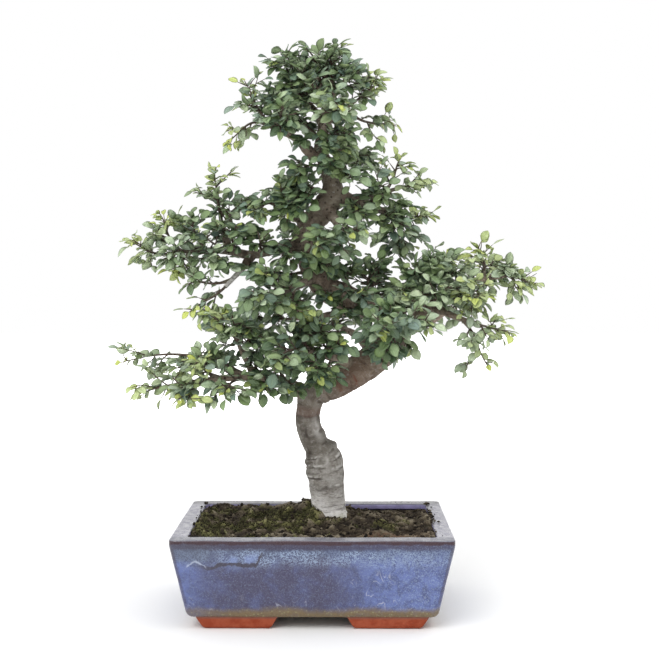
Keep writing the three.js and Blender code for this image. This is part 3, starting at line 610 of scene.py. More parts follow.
class Surfacing:
    """One material in the making, with its patterns placed in millimetres in the pot's frame."""

    def __init__(self, name: str, origin: Array, roughness: float = 0.5, specular: float = 0.5) -> None:
        """Starts a material with a single shader.

        Args:
            name: the material's name.
            origin: where the pot's frame lies in the model's frame, in metres.
            roughness: the shader's roughness where no pattern drives it.
            specular: the shader's specular level, the same all over.
        """
        self.material = bpy.data.materials.new(name)
        self.material.use_nodes = True
        self.tree = self.material.node_tree
        self.shader = self.tree.nodes["Principled BSDF"]
        self.shader.inputs["Roughness"].default_value = roughness
        self.shader.inputs["Specular IOR Level"].default_value = specular
        self.flat = self.node("TexCoord", {}, "UV")
        here = self.flat.node.outputs["Object"]
        placing = {"Vector": here, "Location": tuple(-origin / MM), "Scale": (1 / MM,) * 3}
        self.place = self.node("Mapping", placing, "Vector")

    def feed(self, target: Socket, value: Feed) -> None:
        """Links a socket to a value, or puts the number or colour on it.

        Args:
            target: the socket that is fed.
            value: another node's socket, a number or a colour.
        """
        if isinstance(value, bpy.types.NodeSocket):
            self.tree.links.new(value, target)
        elif target.type == "RGBA":
            target.default_value = (*value, 1.0)
        else:
            target.default_value = value

    def node(self, kind: str, inputs: dict[int | str, Feed], output: int | str = 0, **options: str) -> Socket:
        """Adds one node.

        Args:
            kind: Blender's name for it, after ShaderNode.
            inputs: what its sockets are fed.
            output: which of its results is wanted.
            options: its settings.

        Returns:
            The socket of that result.
        """
        made = self.tree.nodes.new(f"ShaderNode{kind}")
        for option, choice in options.items():
            setattr(made, option, choice)
        for key, value in inputs.items():
            self.feed(made.inputs[key], value)
        return made.outputs[output]

    def mark(self, name: str) -> Socket:
        """The value that the mesh carries under a name."""
        return self.node("Attribute", {}, "Fac", attribute_name=name)

    def axis(self, index: int, source: Socket | None = None) -> Socket:
        """One coordinate, 0 to 2 for x to z, of the place in millimetres or of another vector."""
        return self.node("SeparateXYZ", {0: source or self.place}, index)

    def stretched(self, x: float, y: float, z: float) -> Socket:
        """The place, scaled along each axis, so that a pattern is drawn out along the small ones."""
        return self.node("Mapping", {"Scale": (x, y, z), "Vector": self.place}, "Vector")

    def noise(
        self, grain: float, detail: float = 3.0, roughness: float = 0.55, warp: float = 0.0,
        source: Socket | None = None,
    ) -> Socket:
        """A cloudy pattern.

        Args:
            grain: about how wide its largest blotches are, in millimetres.
            detail: how many finer layers it has.
            roughness: how strong those are.
            warp: how far it is twisted.
            source: where it is read, if not at the place.

        Returns:
            The pattern, about 0.25 to 0.75.
        """
        inputs = {"Scale": 1 / grain, "Detail": detail, "Roughness": roughness, "Distortion": warp}
        return self.node("TexNoise", {"Vector": source or self.place, **inputs}, "Fac")

    def cells(self, grain: float) -> Socket:
        """A pattern of cells about grain millimetres across: the distance from each one's point."""
        return self.node("TexVoronoi", {"Vector": self.place, "Scale": 1 / grain}, "Distance", feature="F1")

    def sums(self, operation: str, first: Feed, second: Feed = 0.0) -> Socket:
        """One Math node: the operation, by Blender's name, on one or two values."""
        return self.node("Math", {0: first, 1: second}, operation=operation)

    def times(self, first: Feed, *others: Feed) -> Socket:
        """The product of all the values."""
        for value in others:
            first = self.sums("MULTIPLY", first, value)
        return first

    def ramped(self, value: Socket, low: float, high: float, start: float = 0.0, end: float = 1.0) -> Socket:
        """Rises smoothly from start, where the value is low, to end, where it is high."""
        inputs = {0: value, 1: low, 2: high, 3: start, 4: end}
        return self.node("MapRange", inputs, interpolation_type="SMOOTHSTEP")

    def shades(self, value: Socket, stops: tuple[tuple[float, Colour], ...]) -> Socket:
        """Colours along a value.

        Args:
            value: the value, 0 to 1.
            stops: values and their colours, which are mixed in between.

        Returns:
            The colour.
        """
        colour = self.node("ValToRGB", {0: value})
        elements = colour.node.color_ramp.elements
        while len(elements) < len(stops):
            elements.new(1.0)
        for element, (position, tone) in zip(elements, stops):
            element.position = position
            element.color = (*tone, 1.0)
        return colour

    def over(self, share: Feed, under: Feed, upper: Feed, mode: str = "MIX") -> Socket:
        """Lays an upper colour over an under one by a share."""
        return self.node("Mix", {0: share, 6: under, 7: upper}, 2, data_type="RGBA", blend_type=mode)

    def layered(self, under: Feed, *layers: tuple[Feed, Feed] | tuple[Feed, Feed, str]) -> Feed:
        """Lays colours over each other, each given by its share, its colour and how it is mixed."""
        for share, *upper in layers:
            under = self.over(share, under, *upper)
        return under

    def relief(self, height: Socket, depth: float, under: Socket | None = None) -> Socket:
        """A bump of the given depth in millimetres, laid over another one if there is one."""
        inputs = {"Distance": depth * MM, "Height": height}
        return self.node("Bump", inputs if under is None else {**inputs, "Normal": under}, "Normal")

    def finish(self, colour: Socket, roughness: Socket | None, normal: Socket | None) -> Material:
        """Joins the patterns to the shader.

        Args:
            colour: the colour pattern.
            roughness: the roughness pattern, if it isn't the same all over.
            normal: the bump, if there is one.

        Returns:
            The finished material.
        """
        for name, value in (("Base Color", colour), ("Roughness", roughness), ("Normal", normal)):
            if value is not None:
                self.feed(self.shader.inputs[name], value)
        return self.material


class GlazeKit(Surfacing):
    """The pot's glaze in the making, with the lines that are drawn on its front."""

    def __init__(self, origin: Array) -> None:
        """Starts the glaze round the place of the pot's frame in the model's, in metres."""
        super().__init__("blue_glaze", origin, specular=0.42)
        self.side, self.depth, self.height = (self.axis(index) for index in range(3))

    def run_edge_shadow_line(self) -> Socket:
        """The run's dark lower edge, partly dark glaze and partly painted shadow under the raised run: thin
        where the height leaves a wavy line that curls up at its end.

        Returns:
            The line's strength, 0 to 1.
        """
        side = self.side
        waves = self.times(self.sums("SINE", self.times(side, 0.13)), 0.8)
        ragged = self.ramped(self.noise(7, 2), *NOISE_SPAN, -1.2, 1.2)
        curl = self.sums("ADD", self.ramped(side, -56, -49, 67.8, 78.0), ragged)
        sag = self.ramped(self.sums("ABSOLUTE", self.sums("ADD", side, 102.0)), 14, 0, 0.0, -4.0)
        off = self.sums("SUBTRACT", self.height, self.sums("ADD", self.sums("ADD", waves, curl), sag))
        line = self.ramped(self.sums("ABSOLUTE", off), 2.5, 1.3)
        ends = self.times(self.ramped(side, -116, -96, 0.15, 0.9), self.ramped(side, -47, -50))
        return self.times(line, ends, self.ramped(side, -122, -114))

    def drip_line(self) -> Socket:
        """A pale line that arches over a drip at the left end: a tent in x, thin in height.

        Returns:
            The line's strength, 0 to 1.
        """
        away = self.sums("ABSOLUTE", self.sums("ADD", self.side, 114.0))
        ragged = self.ramped(self.noise(5, 2), *NOISE_SPAN, -1.0, 1.0)
        arch = self.sums("ADD", self.ramped(away, 11, 0, 65.5, 70.8), ragged)
        off = self.sums("ABSOLUTE", self.sums("SUBTRACT", self.height, arch))
        return self.times(self.ramped(off, 1.3, 0.4, 0.0, 0.6), self.ramped(away, 11, 8))

    def scuffs(self) -> Socket:
        """Pale hairline scuffs low on the right: thin contours of a slow noise, kept to a soft patch.

        Returns:
            The scuffs' strength, 0 to 1.
        """
        slow = self.noise(26, 1, 0.4, 1.2, self.stretched(1.6, 1.0, 0.8))
        line = self.ramped(self.sums("ABSOLUTE", self.sums("SUBTRACT", slow, 0.5)), 0.014, 0.004)
        broken = self.ramped(self.noise(9, 4, 0.6), 0.46, 0.58)
        ends = self.ramped(self.side, 20, 50), self.ramped(self.side, 92, 70)
        patch = self.times(*ends, self.ramped(self.height, 64, 52, 0.0, 0.8))
        low = self.ramped(self.height, 40, 26, 0.0, 0.45)
        return self.times(line, broken, self.sums("MAXIMUM", patch, low))


@dataclass(frozen=True)
class BlueGlaze:
    """Streaky blue glaze over stoneware, brown where it thins at the lip and the foot."""

    blue: Colour = (0.108, 0.145, 0.335)
    deep_blue: Colour = (0.062, 0.078, 0.185)
    purple_grey: Colour = (0.053, 0.048, 0.094)
    slate: Colour = (0.045, 0.058, 0.108)
    shade: Colour = (0.070, 0.082, 0.118)
    pale_speckle: Colour = (0.29, 0.37, 0.51)
    scuff: Colour = (0.46, 0.47, 0.56)
    inner_blue: Colour = (0.37, 0.335, 0.60)
    thick_blue: Colour = (0.19, 0.25, 0.46)
    # run_edge_and_shadow: the run's dark glaze edge together with painted shadow under the raised run
    run_edge_and_shadow: Colour = (0.046, 0.040, 0.056)
    drip: Colour = (0.40, 0.45, 0.56)
    lilac: Colour = (0.36, 0.355, 0.39)
    maroon: Colour = (0.034, 0.013, 0.020)
    # crest_highlight: a painted highlight along the rim's outer top edge
    crest_highlight: Colour = (0.15, 0.105, 0.115)
    wash: Colour = (0.163, 0.117, 0.061)
    lichen: Colour = (0.32, 0.31, 0.17)
    grit: Colour = (0.06, 0.05, 0.06)

    def make(self, origin: Array) -> Material:
        """Body blue, mottled towards the middle; a pale freckled band under a maroon line; a bare foot.

        Args:
            origin: the place of the pot's frame, in metres.

        Returns:
            The material.
        """
        kit = GlazeKit(origin)
        side, depth, height = kit.side, kit.depth, kit.height
        drift = kit.node("Math", {0: kit.noise(26, 4), 1: 14.0, 2: -7.0}, operation="MULTIPLY_ADD")
        level = kit.sums("ADD", height, drift)
        middle = kit.ramped(kit.sums("ABSOLUTE", kit.sums("ADD", side, 36.0)), 104, 48)
        cloudy = kit.times(middle, kit.ramped(kit.noise(19, 4), 0.3, 0.58, 0.62, 0.98))
        fine = kit.noise(1.05, 2, 0.7, 0.0, kit.stretched(0.7, 0.7, 1.0))
        spots = kit.ramped(kit.cells(1.8), 0.32, 0.16)
        freckles = kit.sums("MAXIMUM", kit.ramped(fine, 0.47, 0.57, 0.0, 0.85), spots)
        band = kit.times(
            kit.ramped(level, 60, 73), kit.ramped(level, 85.5, 80.5),
            kit.ramped(kit.noise(15, 4, 0.6), 0.34, 0.54, 0.35, 1.0),
            kit.ramped(side, -125, -45, 0.35, 1.0), kit.ramped(side, 120, 55, 0.72, 1.0),
        )
        right = kit.ramped(side, 40, 115, 0.28, 0.60)
        sparse = kit.times(kit.ramped(kit.noise(1.1, 2, 0.7), 0.52, 0.64), right)
        front = kit.ramped(depth, -70, -85)
        foot = kit.times(
            kit.ramped(level, 25.0, 17.0), kit.ramped(kit.noise(9, 4), 0.3, 0.55, 0.85, 1.0),
            kit.ramped(side, -128, -70, 0.6, 1.0),
        )
        grit = kit.ramped(kit.noise(0.8, 2, 0.7), 0.60, 0.70, 0.0, 0.5)
        inside = kit.times(kit.mark("inside"), kit.ramped(kit.noise(9, 3), 0.35, 0.6, 0.75, 1.0))
        edge = kit.times(kit.mark("edge"), kit.ramped(kit.noise(4, 5, 0.7), 0.30, 0.50, 0.85, 1.0))
        rim = kit.layered(
            self.lilac,
            (kit.ramped(kit.noise(6, 5, 0.65), 0.38, 0.62), (0.22, 0.215, 0.27)),
            (kit.ramped(depth, 70, 98, 0.0, 0.85), (0.15, 0.145, 0.15)),
            (kit.ramped(depth, -84, -92, 0.0, 0.7), (0.115, 0.118, 0.145)),
        )
        body = kit.layered(
            self.deep_blue,
            (kit.ramped(kit.noise(11, 6, 0.66, 0.6), 0.34, 0.60), self.blue),
            (cloudy, self.purple_grey),
            (kit.ramped(level, 66, 84, 0.0, 0.75), self.slate),
            (kit.times(kit.ramped(side, -92, -106, 0.0, 0.7), kit.ramped(height, 67, 75), front), self.shade),
            (kit.sums("MAXIMUM", kit.times(band, freckles), sparse), self.pale_speckle),
            (kit.scuffs(), self.scuff),
            (inside, self.inner_blue),
            (kit.mark("run"), self.thick_blue),
            # Painted shadow under the raised run, with its dark glaze edge.
            (kit.times(kit.run_edge_shadow_line(), front), self.run_edge_and_shadow),
            (kit.times(kit.drip_line(), front), self.drip),
            (kit.ramped(height, 90.8, 92.4), rim),
            (edge, self.maroon),
            # Painted highlight along the rim's outer crest.
            (kit.times(kit.mark("crest"), kit.ramped(kit.noise(7, 4), 0.36, 0.6, 0.25, 0.9)), self.crest_highlight),
            (foot, self.wash),
            (kit.times(kit.ramped(kit.cells(3.4), 0.30, 0.14, 0.0, 0.6), foot), self.lichen),
            (kit.times(grit, kit.ramped(level, 60, 25, 0.25, 1.0)), self.grit),
        )
        shine = kit.ramped(kit.noise(6, 4), *NOISE_SPAN, 0.18, 0.38)
        return kit.finish(body, shine, kit.relief(kit.noise(22, 2), 0.4, kit.relief(kit.noise(3.2, 3), 0.16)))


@dataclass(frozen=True)
class Cloud:
    """A cloudy layer: the noise's grain and detail, the values it rises between, and its strength."""

    colour: Colour
    grain: float
    detail: float
    low: float
    high: float
    strength: float = 1.0

    def layer(self, kit: Surfacing) -> tuple[Socket, Colour]:
        """Where the layer shows, and its colour."""
        noise = kit.noise(self.grain, self.detail)
        return kit.ramped(noise, self.low, self.high, 0.0, self.strength), self.colour


@dataclass(frozen=True)
class DullFinish:
    """A dull finish: a colour under clouds of others, with an uneven sheen and a fine grain.

    The sheen is a noise's grain and detail and the roughness that it swings between, the grain
    a noise's grain and detail and its depth in millimetres.
    """

    name: str
    specular: float
    base: Colour
    clouds: tuple[Cloud, ...]
    sheen: tuple[float, float, float, float]
    grain: tuple[float, float, float]
    sooty: bool = False

    def make(self, origin: Array) -> Material:
        """Lays the clouds over the base, and soot over the top of a foot.

        Args:
            origin: the place of the pot's frame, in metres.

        Returns:
            The material.
        """
        kit = Surfacing(self.name, origin, specular=self.specular)
        layers = [cloud.layer(kit) for cloud in self.clouds]
        if self.sooty:
            layers.append((kit.ramped(kit.axis(2), 9, 12, 0.0, 0.7), (0.16, 0.08, 0.06)))
        rough = kit.ramped(kit.noise(*self.sheen[:2]), *NOISE_SPAN, *self.sheen[2:])
        normal = kit.relief(kit.noise(*self.grain[:2]), self.grain[2])
        return kit.finish(kit.layered(self.base, *layers), rough, normal)


BARE_CLAY = DullFinish(
    "bare_clay", 0.25, (0.240, 0.038, 0.012),
    (Cloud((0.305, 0.066, 0.028), 7, 5, 0.35, 0.65), Cloud((0.25, 0.06, 0.03), 0.9, 2, 0.6, 0.72, 0.5)),
    (3, 3, 0.65, 0.85), (0.8, 3, 0.12), sooty=True,
)
SCREEN_PLASTIC = DullFinish(
    "screen_plastic", 0.4, (0.012, 0.014, 0.013), (Cloud((0.05, 0.04, 0.03), 4, 4, 0.4, 0.7, 0.5),),
    (2, 2, 0.5, 0.75), (0.7, 2, 0.05),
)
TWIG_BARK = DullFinish(
    "twig_bark", 0.3, (0.06, 0.038, 0.026), (Cloud((0.115, 0.095, 0.075), 3.5, 4, 0.4, 0.62),),
    (2, 2, 0.6, 0.85), (0.9, 2, 0.12),
)


@dataclass(frozen=True)
class PottingSoil:
    """Dark, crumbly soil, greener where moss grows and drier at the front right."""

    tones: tuple[tuple[float, Colour], ...] = (
        (0.0, (0.009, 0.007, 0.005)), (0.35, (0.034, 0.025, 0.017)),
        (0.62, (0.098, 0.079, 0.053)), (1.0, (0.24, 0.205, 0.15)),
    )
    mosses: tuple[tuple[float, Colour], ...] = (
        (0.0, (0.014, 0.014, 0.007)), (0.4, (0.048, 0.047, 0.018)),
        (0.7, (0.125, 0.120, 0.048)), (1.0, (0.27, 0.255, 0.12)),
    )
    dry: Colour = (0.15, 0.085, 0.055)

    def make(self, origin: Array) -> Material:
        """Light clods and dark hollows by the mesh's tone value, which on the bed is partly painted shade in
        the hollows; dry patches, then moss.

        Args:
            origin: the place of the pot's frame, in metres.

        Returns:
            The material.
        """
        kit = Surfacing("potting_soil", origin, roughness=0.95, specular=0.2)
        fine = kit.times(kit.noise(1.7, 4, 0.75), 0.9)
        value = kit.sums("SUBTRACT", kit.sums("ADD", kit.mark("tone"), fine), 0.50)
        dusty = kit.times(kit.mark("dry"), kit.ramped(kit.noise(5, 4), 0.3, 0.6))
        patchy = kit.sums("ADD", kit.mark("moss"), kit.times(kit.noise(7, 4, 0.65), 0.7))
        colour = kit.layered(
            kit.shades(value, self.tones), (dusty, self.dry),
            (kit.ramped(patchy, 0.68, 1.0), kit.shades(value, self.mosses)),
        )
        normal = kit.relief(kit.noise(1.1, 4, 0.7), 0.7)
        return kit.finish(colour, None, kit.relief(kit.cells(2.2), 0.6, normal))


@dataclass(frozen=True)
class MossGreen:
    """Olive moss tips, and yellow-green ones."""

    olive: Colour = (0.030, 0.031, 0.012)
    bright: Colour = (0.20, 0.195, 0.085)
    brown: Colour = (0.045, 0.036, 0.018)

    def make(self, origin: Array) -> Material:
        """Darker at the root of each tuft and brighter at its tips, by the mesh's tint value.

        Args:
            origin: the place of the pot's frame, in metres.

        Returns:
            The material.
        """
        kit = Surfacing("moss_green", origin, roughness=0.9, specular=0.2)
        colour = kit.layered(
            self.olive, (kit.ramped(kit.mark("tint"), 0.0, 1.0), self.bright),
            (kit.ramped(kit.noise(6, 3), 0.42, 0.58, 0.0, 0.85), self.brown),
        )
        return kit.finish(colour, None, kit.relief(kit.noise(0.6, 2), 0.15))


@dataclass(frozen=True)
class TreeBark:
    """Bark that is pale grey at the root and darkens to red-brown up the trunk."""

    stops: tuple[tuple[float, Colour], ...] = (
        (0.00, (0.84, 0.83, 0.79)), (0.08, (0.78, 0.76, 0.74)), (0.105, (0.70, 0.68, 0.66)),
        (0.135, (0.36, 0.345, 0.32)), (0.18, (0.255, 0.24, 0.215)), (0.25, (0.23, 0.21, 0.183)),
        (0.36, (0.20, 0.165, 0.125)), (0.47, (0.21, 0.175, 0.130)), (0.60, (0.33, 0.26, 0.205)),
        (0.80, (0.21, 0.18, 0.14)), (1.00, (0.13, 0.11, 0.08)),
    )
    # crease: painted shade in the bark's creases, wrinkles and knot hole and on the trunk's left; also the
    # colour of the dark specks and pits
    crease: Colour = (0.035, 0.024, 0.018)
    green_foot: Colour = (0.52, 0.54, 0.36)
    # painted_light: the pale colour of the painted highlights on the ridges, round the knot hole and on the
    # streak
    painted_light: Colour = (0.66, 0.64, 0.61)
    scar: Colour = (0.13, 0.045, 0.026)

    def make(self, origin: Array) -> Material:
        """Base tone by how far up the tree, blotches, dark specks, painted shade in the creases, painted
        highlights on the ridges, and a fine bump.

        Args:
            origin: the place of the pot's frame, in metres.

        Returns:
            The material.
        """
        kit = Surfacing("tree_bark", origin, specular=0.3)
        rise = kit.mark("rise")
        aged = kit.ramped(rise, 0.07, 0.15, 0.12, 1.0)
        ringed = kit.noise(2.6, 4, 0.68, 0.8, kit.stretched(0.34, 0.34, 1.5))
        lined = kit.ramped(rise, 0.22, 0.12, 0.3, 1.0)
        blotches = kit.times(kit.ramped(kit.noise(11, 6, 0.66, 0.4), 0.42, 0.60, 0.0, 0.6), aged)
        broad = kit.times(kit.ramped(kit.noise(21, 3, 0.5), 0.44, 0.58, 0.0, 0.5), aged)
        mossy = kit.times(kit.ramped(kit.axis(2), 104, 90, 0.0, 0.6), kit.ramped(kit.noise(5, 3), 0.35, 0.6))
        pits = kit.times(kit.ramped(kit.cells(6.0), 0.30, 0.15, 0.0, 0.85), kit.ramped(rise, 0.50, 0.58))
        tone = kit.layered(
            kit.shades(rise, self.stops),
            (blotches, (0.42, 0.38, 0.33), "MULTIPLY"),
            (kit.ramped(kit.noise(5, 4, 0.6), 0.55, 0.72, 0.0, 0.45), (0.46, 0.44, 0.41)),
            (broad, (0.55, 0.53, 0.50), "MULTIPLY"),
            (kit.times(kit.ramped(ringed, 0.54, 0.62, 0.0, 0.6), lined), (0.45, 0.42, 0.38), "MULTIPLY"),
            (kit.times(kit.ramped(ringed, 0.42, 0.34, 0.0, 0.35), lined), (0.62, 0.60, 0.57)),
            (mossy, self.green_foot),
            (kit.ramped(kit.noise(1.3, 3, 0.7), 0.60, 0.70, 0.0, 0.6), self.crease),
            (pits, self.crease),
            # Painted shade in the creases, the knot hole and on the trunk's left side.
            (kit.ramped(kit.mark("crease"), 0.15, 0.8, 0.0, 0.85), self.crease),
            # Painted highlights on the lit ridges, the knot hole's rim and the streak.
            (kit.mark("ridge"), self.painted_light),
            (kit.mark("scar"), self.scar),
        )
        rough = kit.ramped(kit.noise(4, 3), *NOISE_SPAN, 0.68, 0.9)
        normal = kit.relief(kit.noise(4.5, 5, 0.68, 0.5, kit.stretched(1.0, 1.0, 2.4)), 1.3)
        return kit.finish(tone, rough, kit.relief(kit.noise(1.1, 3, 0.7), 0.35, normal))


@dataclass(frozen=True)
class LeafBlade:
    """Grey-green blades, duller below, with pale veins and yellow-green young ones."""

    dark: Colour = (0.056, 0.108, 0.046)
    mid: Colour = (0.325, 0.445, 0.225)
    pale: Colour = (0.55, 0.65, 0.45)
    young: Colour = (0.50, 0.57, 0.12)
    under: Colour = (0.30, 0.38, 0.22)
    blue_green: Colour = (0.165, 0.225, 0.200)
    olive: Colour = (0.215, 0.255, 0.100)
    fresh: Colour = (0.170, 0.255, 0.075)
    cool: Colour = (0.130, 0.205, 0.185)
    sunlit: Colour = (0.42, 0.49, 0.34)
    vein: Colour = (0.28, 0.34, 0.19)

    def make(self, origin: Array) -> Material:
        """Tone by leaf, veins from the blade's own map: a midrib at v = 0 and ribs slanting from it.

        A rib runs where the sine of 2 pi times 8 (u - 0.35 |v|) is near one, u along and v across.

        Args:
            origin: the place of the pot's frame, in metres.

        Returns:
            The material.
        """
        kit = Surfacing("leaf_blade", origin, specular=0.5)
        along, across = kit.axis(0, kit.flat), kit.axis(1, kit.flat)
        out = kit.sums("ABSOLUTE", across)
        slant = kit.sums("SUBTRACT", along, kit.times(out, 0.35))
        rib = kit.ramped(kit.sums("SINE", kit.times(slant, 50.0)), 0.55, 1.0)
        veins = kit.sums("MAXIMUM", kit.times(rib, 0.5), kit.ramped(out, 0.10, 0.02))
        region, side = kit.noise(46, 2), kit.axis(0)
        middle = kit.ramped(kit.sums("ABSOLUTE", side), 85, 25, 0.0, 0.5)
        colour = kit.layered(
            self.dark,
            # tint: each leaf's own tone, with painted light that makes sprays at the crown's sides paler and
            # those in its lower middle darker
            (kit.mark("tint"), self.mid),
            (kit.ramped(kit.mark("tint"), 0.74, 1.0, 0.0, 0.85), self.pale),
            (kit.ramped(kit.noise(3, 3), 0.35, 0.65, 0.0, 0.26), self.dark),
            (kit.ramped(region, 0.50, 0.64, 0.0, 0.50), self.blue_green),
            (kit.ramped(region, 0.46, 0.34, 0.0, 0.42), self.olive),
            (kit.ramped(kit.mark("hue"), 0.60, 1.0, 0.0, 0.6), self.fresh),
            (kit.ramped(kit.mark("hue"), 0.35, 0.0, 0.0, 0.6), self.cool),
            # Painted shade: each blade darker towards its base.
            (kit.ramped(along, 0.75, 0.0, 0.0, 0.6), (0.55, 0.58, 0.50), "MULTIPLY"),
            (kit.ramped(side, 90, 190, 0.0, 0.22), self.sunlit),
            # Painted shade in the crown's lower middle.
            (kit.times(middle, kit.ramped(kit.axis(2), 480, 380)), (0.62, 0.64, 0.58), "MULTIPLY"),
            (kit.mark("young"), self.young),
            (kit.times(kit.mark("under"), 0.75), self.under),
            (kit.times(veins, 0.26), self.vein),
        )
        rough = kit.ramped(kit.noise(5, 2), *NOISE_SPAN, 0.34, 0.5)
        return kit.finish(colour, rough, kit.relief(kit.noise(1.2, 2), 0.12, kit.relief(veins, -0.25)))


@dataclass(frozen=True)
class PaleFloor:
    """A plain pale floor."""

    white: Colour = (0.80, 0.80, 0.80)
    paler: Colour = (0.83, 0.83, 0.83)

    def make(self, origin: Array) -> Material:
        """Off-white, faintly uneven, and as white as the sky beyond half a metre or so.

        Args:
            origin: the place of the pot's frame, in metres.

        Returns:
            The material.
        """
        kit = Surfacing("pale_floor", origin, roughness=0.7, specular=0.2)
        squares = [kit.times(kit.axis(index), kit.axis(index)) for index in (0, 1)]
        kit.feed(kit.shader.inputs["Emission Color"], (1.0, 1.0, 1.0))
        kit.feed(kit.shader.inputs["Emission Strength"], kit.ramped(kit.sums("ADD", *squares), 0.3e6, 1.6e6))
        return kit.finish(kit.over(kit.noise(400, 2), self.white, self.paler), None, None)


class Finishes:
    """All the object's materials, made once."""

    def __init__(self, origin: Array) -> None:
        """Makes every material.

        Args:
            origin: where the pot's frame lies in the model's frame, in metres.
        """
        self.origin = origin
        self.glaze = BlueGlaze().make(origin)
        self.clay = BARE_CLAY.make(origin)
        self.screen = SCREEN_PLASTIC.make(origin)
        self.soil = PottingSoil().make(origin)
        self.moss = MossGreen().make(origin)
        self.bark = TreeBark().make(origin)
        self.twig = TWIG_BARK.make(origin)
        self.leaf = LeafBlade().make(origin)

    def piece(self, name: str, skins: list[Skin], looks: list[Material], slot: str, *nodes: str) -> Piece:
        """Makes a piece of the object, which rides with the plant.

        Args:
            name: the piece's name.
            skins: the skins that it is made of.
            looks: its materials.
            slot: not used.
            nodes: the nodes that it stands for.

        Returns:
            The piece.
        """
        piece = Assembly(skins).build(name, looks, self.origin)
        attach(piece, "root")
        if nodes:
            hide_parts(*nodes)
        return piece


# The pot


class Side(Enum):
    """The two halves that the drain holes and screens lie in."""

    LEFT = -1.0
    RIGHT = 1.0


@dataclass
class RoundedFrame:
    """A rounded rectangle's outline as fixed columns, whatever its size.

    A column is a corner sign pair and an outward unit vector. Its point is the signs times the
    half sizes less the radius, plus the radius times the outward vector.
    """

    long_steps: int
    short_steps: int
    corner_steps: int

    def columns(self) -> tuple[Array, Array]:
        """Lays the columns out, anticlockwise from the lower right.

        Returns:
            The signs and the outward vector of each.
        """
        signs, outward = [], []
        corners = np.array([[1.0, -1.0], [1.0, 1.0], [-1.0, 1.0], [-1.0, -1.0]])
        for index in range(4):
            start, end = corners[index], corners[(index + 1) % 4]
            steps = self.short_steps if index % 2 == 0 else self.long_steps
            share = np.linspace(0.0, 1.0, steps, endpoint=False)[:, None]
            arc = circle(4 * self.corner_steps, index * np.pi / 2)[: self.corner_steps]
            signs += [start + (end - start) * share, np.repeat(end[None], self.corner_steps, 0)]
            outward += [np.repeat(arc[:1], steps, 0), arc]
        return np.vstack(signs), np.vstack(outward)

    def points(self, half_x: Array, half_y: Array, radius: Array) -> Array:
        """Outline points, rows by columns by 2, for rows of half sizes and corner radii."""
        signs, outward = self.columns()
        inner = np.stack([half_x - radius, half_y - radius], -1)[:, None]
        return signs * inner + outward * radius[:, None, None]


def softened(corners: Array, radii: Array, fills: list[int], arc_steps: int, closed: bool) -> Array:
    """A polyline with its corners rounded.

    A corner becomes the quadratic Bezier curve between the points one radius before and after
    it, with the corner as its middle control point.

    Args:
        corners: the polyline's corners.
        radii: a rounding distance for each corner.
        fills: how many extra points divide each straight stretch.
        arc_steps: points on each rounded corner.
        closed: true if the last corner joins the first.

    Returns:
        The points in order.
    """
    count = len(corners)
    t = np.linspace(0.0, 1.0, arc_steps)[:, None]
    arcs: list[Array] = []
    for index, corner in enumerate(corners):
        before, after = corners[index - 1], corners[(index + 1) % count]
        if not closed and index in (0, count - 1):
            arcs.append(corner[None])
            continue
        start = corner + unit(before - corner) * min(radii[index], 0.45 * math.dist(before, corner))
        end = corner + unit(after - corner) * min(radii[index], 0.45 * math.dist(after, corner))
        arcs.append((1 - t) ** 2 * start + 2 * t * (1 - t) * corner + t**2 * end)
    pieces: list[Array] = []
    for index in range(count if closed else count - 1):
        follow = arcs[(index + 1) % count]
        share = np.linspace(0.0, 1.0, fills[index] + 2)[1:-1, None]
        pieces += [arcs[index], arcs[index][-1] * (1 - share) + follow[0] * share]
    return np.vstack(pieces + ([] if closed else [arcs[-1]]))


